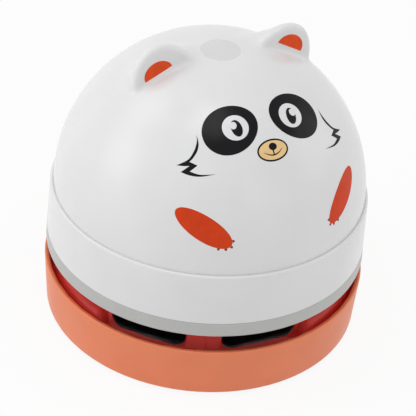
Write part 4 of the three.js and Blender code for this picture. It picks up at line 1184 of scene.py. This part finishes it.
locks = [lock(LOCK_PHASE + 360 / LOCK_COUNT * i) for i in range(LOCK_COUNT)]
place(grouped("locks", locks), "dome_locks", "dome", white)


# Prints on the dome

def tilted(x, y, degrees):
    angle = math.radians(degrees)
    return x * math.cos(angle) - y * math.sin(angle), x * math.sin(angle) + y * math.cos(angle)


def ellipse(half_across, half_up, tilt=0.0, middle=(0, 0), egg=0.0, steps=72):
    points = []
    for k in range(steps):
        angle = 2 * math.pi * k / steps
        y = half_up * math.sin(angle) * (1 + egg * math.cos(angle))
        points.append(np.add(middle, tilted(half_across * math.cos(angle), y, tilt)))
    return points


def curve(points, steps=10):
    """A smooth open line through the points."""
    points = np.array(points, float)
    padded = np.vstack([2 * points[0] - points[1], points, 2 * points[-1] - points[-2]])
    line = []
    for i in range(1, len(padded) - 2):
        a, b, c, d = padded[i - 1:i + 3]
        for step in range(steps):
            t = step / steps
            line.append(0.5 * (2 * b + (c - a) * t + (2 * a - 5 * b + 4 * c - d) * t ** 2
                               + (3 * b - a - 3 * c + d) * t ** 3))
    line.append(points[-1])
    return np.array(line)


def brushed(points, widths):
    """The outline of a drawn line, its width given at each point."""
    line = curve(points)
    width = curve([(w, 0) for w in widths])[:, 0]
    along = np.gradient(line, axis=0)
    along /= np.linalg.norm(along, axis=1)[:, None]
    side = np.stack([-along[:, 1], along[:, 0]], 1) * width[:, None] / 2
    return [tuple(p) for p in np.vstack([line + side, (line - side)[::-1]])]


def skin_place(angle, height):
    """A point on the dome, with the directions across it, up it and out of it."""
    radius = profile_radius(DOME_RADIUS, (height - dome_bottom) / DOME_HEIGHT)
    x, y = bearing(angle)
    spot = np.array([radius * x, radius * y, height])
    out = skin_normals(spot[None])[0]
    across = np.array([-y, x, 0])
    return spot, across, np.cross(out, across), out


def decal(name, outlines, spot, across, up, out, layer, material):
    """Ink on the skin: thin closed sheets with the outlines, which follow the skin below them."""
    form = bmesh.new()
    for outline in outlines:
        form.faces.new([form.verts.new((x, y, 0)) for x, y in outline])
    bmesh.ops.triangulate(form, faces=form.faces[:])
    reach = max(max(abs(v.co.x), abs(v.co.y)) for v in form.verts)
    for k in range(-int(reach / CELL), int(reach / CELL) + 1):
        for normal in ((1, 0, 0), (0, 1, 0)):
            sliced(form, [k * CELL * v for v in normal], normal, dist=1e-5)
    flat = vertices_of(form)
    top = spot + flat[:, :1] * across + flat[:, 1:2] * up
    for _ in range(INK_ROUNDS):
        top = top - out * skin_distance(top)[:, None]
    outward = skin_normals(top)
    index = {vertex: i for i, vertex in enumerate(form.verts)}
    count = len(form.verts)
    faces = []
    for face in form.faces:
        ring = [index[v] for v in face.verts]
        faces += [tuple(ring), tuple(count + v for v in reversed(ring))]
    for edge in form.edges:
        if edge.is_boundary:
            a, b = [index[v] for v in edge.verts]
            faces.append((a, b, count + b, count + a))
    form.free()
    vertices = np.vstack([top + outward * INK * layer, top - outward * SINK])
    place(closed(name, vertices, faces), name, "dome", material)


def drawn(outline, shift, side):
    """An outline moved outwards and up, and mirrored on the left side."""
    points = [(side * (x + shift[0]), y + shift[1]) for x, y in outline]
    return points if side > 0 else points[::-1]


# A tuft of cheek fur, drawn as one sharp outline: outwards, upwards
TUFT = [
    *curve([(0.6, 5.35), (0.22, 4.1), (0.2, 2.7), (0.55, 1.0), (1.5, -0.9), (3.95, -2.6)]),
    *curve([(3.95, -2.6), (2.3, -2.55), (0.85, -2.3)])[1:], (2.7, -4.05),
    *curve([(2.7, -4.05), (0.6, -4.5), (-2.1, -4.4), (-5.6, -3.25)])[1:],
    *curve([(-5.6, -3.25), (-2.0, -3.95), (0.6, -3.6)])[1:],
    (-1.0, -1.9),
    *curve([(1.05, -1.35), (0.35, -0.3), (-0.3, 1.3), (-0.4, 2.9), (0.0, 4.2), (0.6, 5.35)])[:-1],
]


def print_eye(side, word):
    """An eye on its dark patch, in four layers of ink."""
    spot = skin_place(side * FACE_ANGLE, EYE_HEIGHT)
    shift = EYE_SHIFT[side]
    pupil_shift = np.add(shift, PUPIL_SHIFT[side])
    for layer, (name, oval, moved, material) in enumerate([
        ("eye_patch", EYE_PATCH, shift, print_black),
        ("eye_white", EYE_WHITE, shift, print_white),
        ("pupil", PUPIL, pupil_shift, print_black),
        ("glint", GLINT, pupil_shift, print_white),
    ], 1):
        decal(f"{name}_{word}", [drawn(ellipse(*oval), moved, side)], *spot, layer, material)


def print_cheek(side, word):
    spot = skin_place(side * CHEEK_ANGLE, CHEEK_HEIGHT)
    tuft = drawn(TUFT, TUFT_SHIFT[side], side)
    decal(f"cheek_tuft_{word}", [tuft], *spot, 1, print_black)


def claw(turned, tilt):
    """A small leaf shape past the lower end of a paw."""
    angle = math.radians(180 + turned)
    root = np.array(tilted(PAW_SIZE[0] * math.cos(angle), PAW_SIZE[1] * math.sin(angle), tilt))
    ahead = np.array(tilted(math.cos(angle) / PAW_SIZE[0], math.sin(angle) / PAW_SIZE[1], tilt))
    ahead /= np.linalg.norm(ahead)
    aside = np.array([-ahead[1], ahead[0]])
    return [
        root + ahead * CLAW_LENGTH * along + aside * CLAW_HALF_WIDTH * width
        for along, width in CLAW_SHAPE
    ]


def print_paw(side, word):
    spot = skin_place(side * PAW_ANGLE, PAW_HEIGHT)
    tilt = PAW_TILT[side]
    shift = PAW_SHIFT[side]
    paw = drawn(ellipse(*PAW_SIZE, tilt, egg=PAW_EGG), shift, side)
    decal(f"paw_{word}", [paw], *spot, 1, print_orange)
    claws = [drawn(claw(turned, tilt), shift, side) for turned in CLAW_TURNS]
    decal(f"claws_{word}", claws, *spot, 1, umber)


def print_ear(side, word):
    """A half moon on the flat front of an ear."""
    half_moon = []
    for degrees in range(0, 181, MOON_STEP):
        angle = math.radians(degrees)
        x, y = -MOON_SIZE[0] * math.cos(angle), MOON_SIZE[1] * math.sin(angle)
        half_moon.append(tilted(x, y, -MOON_LEAN))
    moon = drawn(half_moon, MOON_PLACE[side], side)[::-1]
    front = (*ear_axes(side), np.array([0, -1.0, 0]))
    decal(f"ear_moon_{word}", [moon], *front, 3, ear_orange)


for side, word in ((-1, "left"), (1, "right")):
    print_eye(side, word)
    print_cheek(side, word)
    print_paw(side, word)
    print_ear(side, word)
muzzle = skin_place(0, MUZZLE_HEIGHT)
decal("muzzle_edge", [ellipse(*MUZZLE_EDGE)], *muzzle, 1, print_black)
decal("muzzle", [ellipse(*MUZZLE)], *muzzle, 2, print_tan)
decal("nose", [ellipse(*NOSE)], *muzzle, 3, print_black)
decal("smile", [brushed(SMILE, SMILE_WIDTHS)], *muzzle, 3, print_black)
decal("smile_stem", [brushed(STEM, STEM_WIDTHS)], *muzzle, 4, print_black)

# Round clear seal on the crown
crown = np.array([*SEAL_PLACE, dome_bottom + DOME_HEIGHT])
flat_on_top = (crown, np.array([1.0, 0, 0]), np.array([0, 1.0, 0]), UP)
decal("clear_seal", [ellipse(SEAL_RADIUS, SEAL_RADIUS)], *flat_on_top, 2, film)


# Floor, backdrop, lights and camera

def seen_directly(tree):
    """1 for rays from the camera, a mirror or glass, and 0 for the rest."""
    path = tree.nodes.new("ShaderNodeLightPath")
    total = path.outputs["Is Camera Ray"]
    for name in ("Is Glossy Ray", "Is Transmission Ray"):
        larger = added(tree, "ShaderNodeMath", {0: total, 1: path.outputs[name]})
        larger.operation = "MAXIMUM"
        total = larger.outputs[0]
    return total


def shown(tree, factor, first, second, output):
    """Sends a mix of two shaders to an output."""
    inputs = {0: factor, 1: first.outputs[0], 2: second.outputs[0]}
    mix = added(tree, "ShaderNodeMixShader", inputs)
    added(tree, output, {"Surface": mix.outputs[0]})


world = bpy.data.worlds.new("studio")
bpy.context.scene.world = world
tree = nodes_of(world)
light = added(tree, "ShaderNodeBackground", {"Color": (1, 1, 1, 1), "Strength": WORLD_LIGHT})
backdrop = added(tree, "ShaderNodeBackground", {"Color": (1, 1, 1, 1)})
shown(tree, seen_directly(tree), light, backdrop, "ShaderNodeOutputWorld")

outline = [(x, y, 0) for x, y in rectangle(FLOOR_HALF, FLOOR_HALF, FLOOR_CORNER, FLOOR_STEPS)]
floor = closed("floor", outline, [tuple(range(len(outline)))])
floor.data.transform(Matrix.Scale(MM, 4))
paper = bpy.data.materials.new("floor_paper")
tree = nodes_of(paper)
matt = added(tree, "ShaderNodeBsdfDiffuse", {"Color": (FLOOR_COLOR, FLOOR_COLOR, FLOOR_COLOR, 1)})
glow = tree.nodes.new("ShaderNodeEmission")
share = added(tree, "ShaderNodeMath", {0: seen_directly(tree), 1: FLOOR_GLOW})
share.operation = "MULTIPLY"
shown(tree, share.outputs[0], matt, glow, "ShaderNodeOutputMaterial")
floor.data.materials.append(paper)


def direction(angle, elevation):
    """The direction towards a lamp or the camera, from its angle and its elevation."""
    x, y = bearing(angle)
    level = math.cos(math.radians(elevation))
    return np.array([x * level, y * level, math.sin(math.radians(elevation))])


def softbox(name, angle, elevation, distance, size, radiance):
    """A rectangular lamp of the size and brightness given, which faces the object."""
    lamp = bpy.data.lights.new(name, "AREA")
    lamp.shape = "RECTANGLE"
    lamp.size, lamp.size_y = size
    lamp.energy = radiance * math.pi * size[0] * size[1]
    holder = add_object(name, lamp)
    away = Vector(direction(angle, elevation))
    holder.location = away * distance + Vector(LAMP_AIM)
    holder.rotation_euler = away.to_track_quat("Z", "Y").to_euler()


for lamp in LAMPS:
    softbox(*lamp)

back = direction(CAMERA_ANGLE, CAMERA_ELEVATION)
x, y = bearing(CAMERA_ANGLE)
right = np.array([-y, x, 0])
above = np.cross(back, right)
roll = math.radians(CAMERA_ROLL)
rolled_right = math.cos(roll) * right + math.sin(roll) * above
rolled_up = math.cos(roll) * above - math.sin(roll) * right
lens = bpy.data.cameras.new("camera")
lens.sensor_width = SENSOR
lens.lens = SENSOR * FOCAL_PIXELS / PHOTO_PIXELS
lens.shift_x = -(TARGET_PIXEL[0] - PHOTO_PIXELS / 2) / PHOTO_PIXELS
lens.shift_y = (TARGET_PIXEL[1] - PHOTO_PIXELS / 2) / PHOTO_PIXELS
lens.clip_start = CLIP_START
camera = add_object("camera", lens)
spot = CAMERA_TARGET + back * CAMERA_DISTANCE
columns = np.stack([rolled_right, rolled_up, back], 1)
camera.matrix_world = Matrix.Translation(Vector(spot)) @ Matrix(columns.tolist()).to_4x4()
bpy.context.scene.camera = camera
bpy.context.scene.view_settings.view_transform = "Standard"
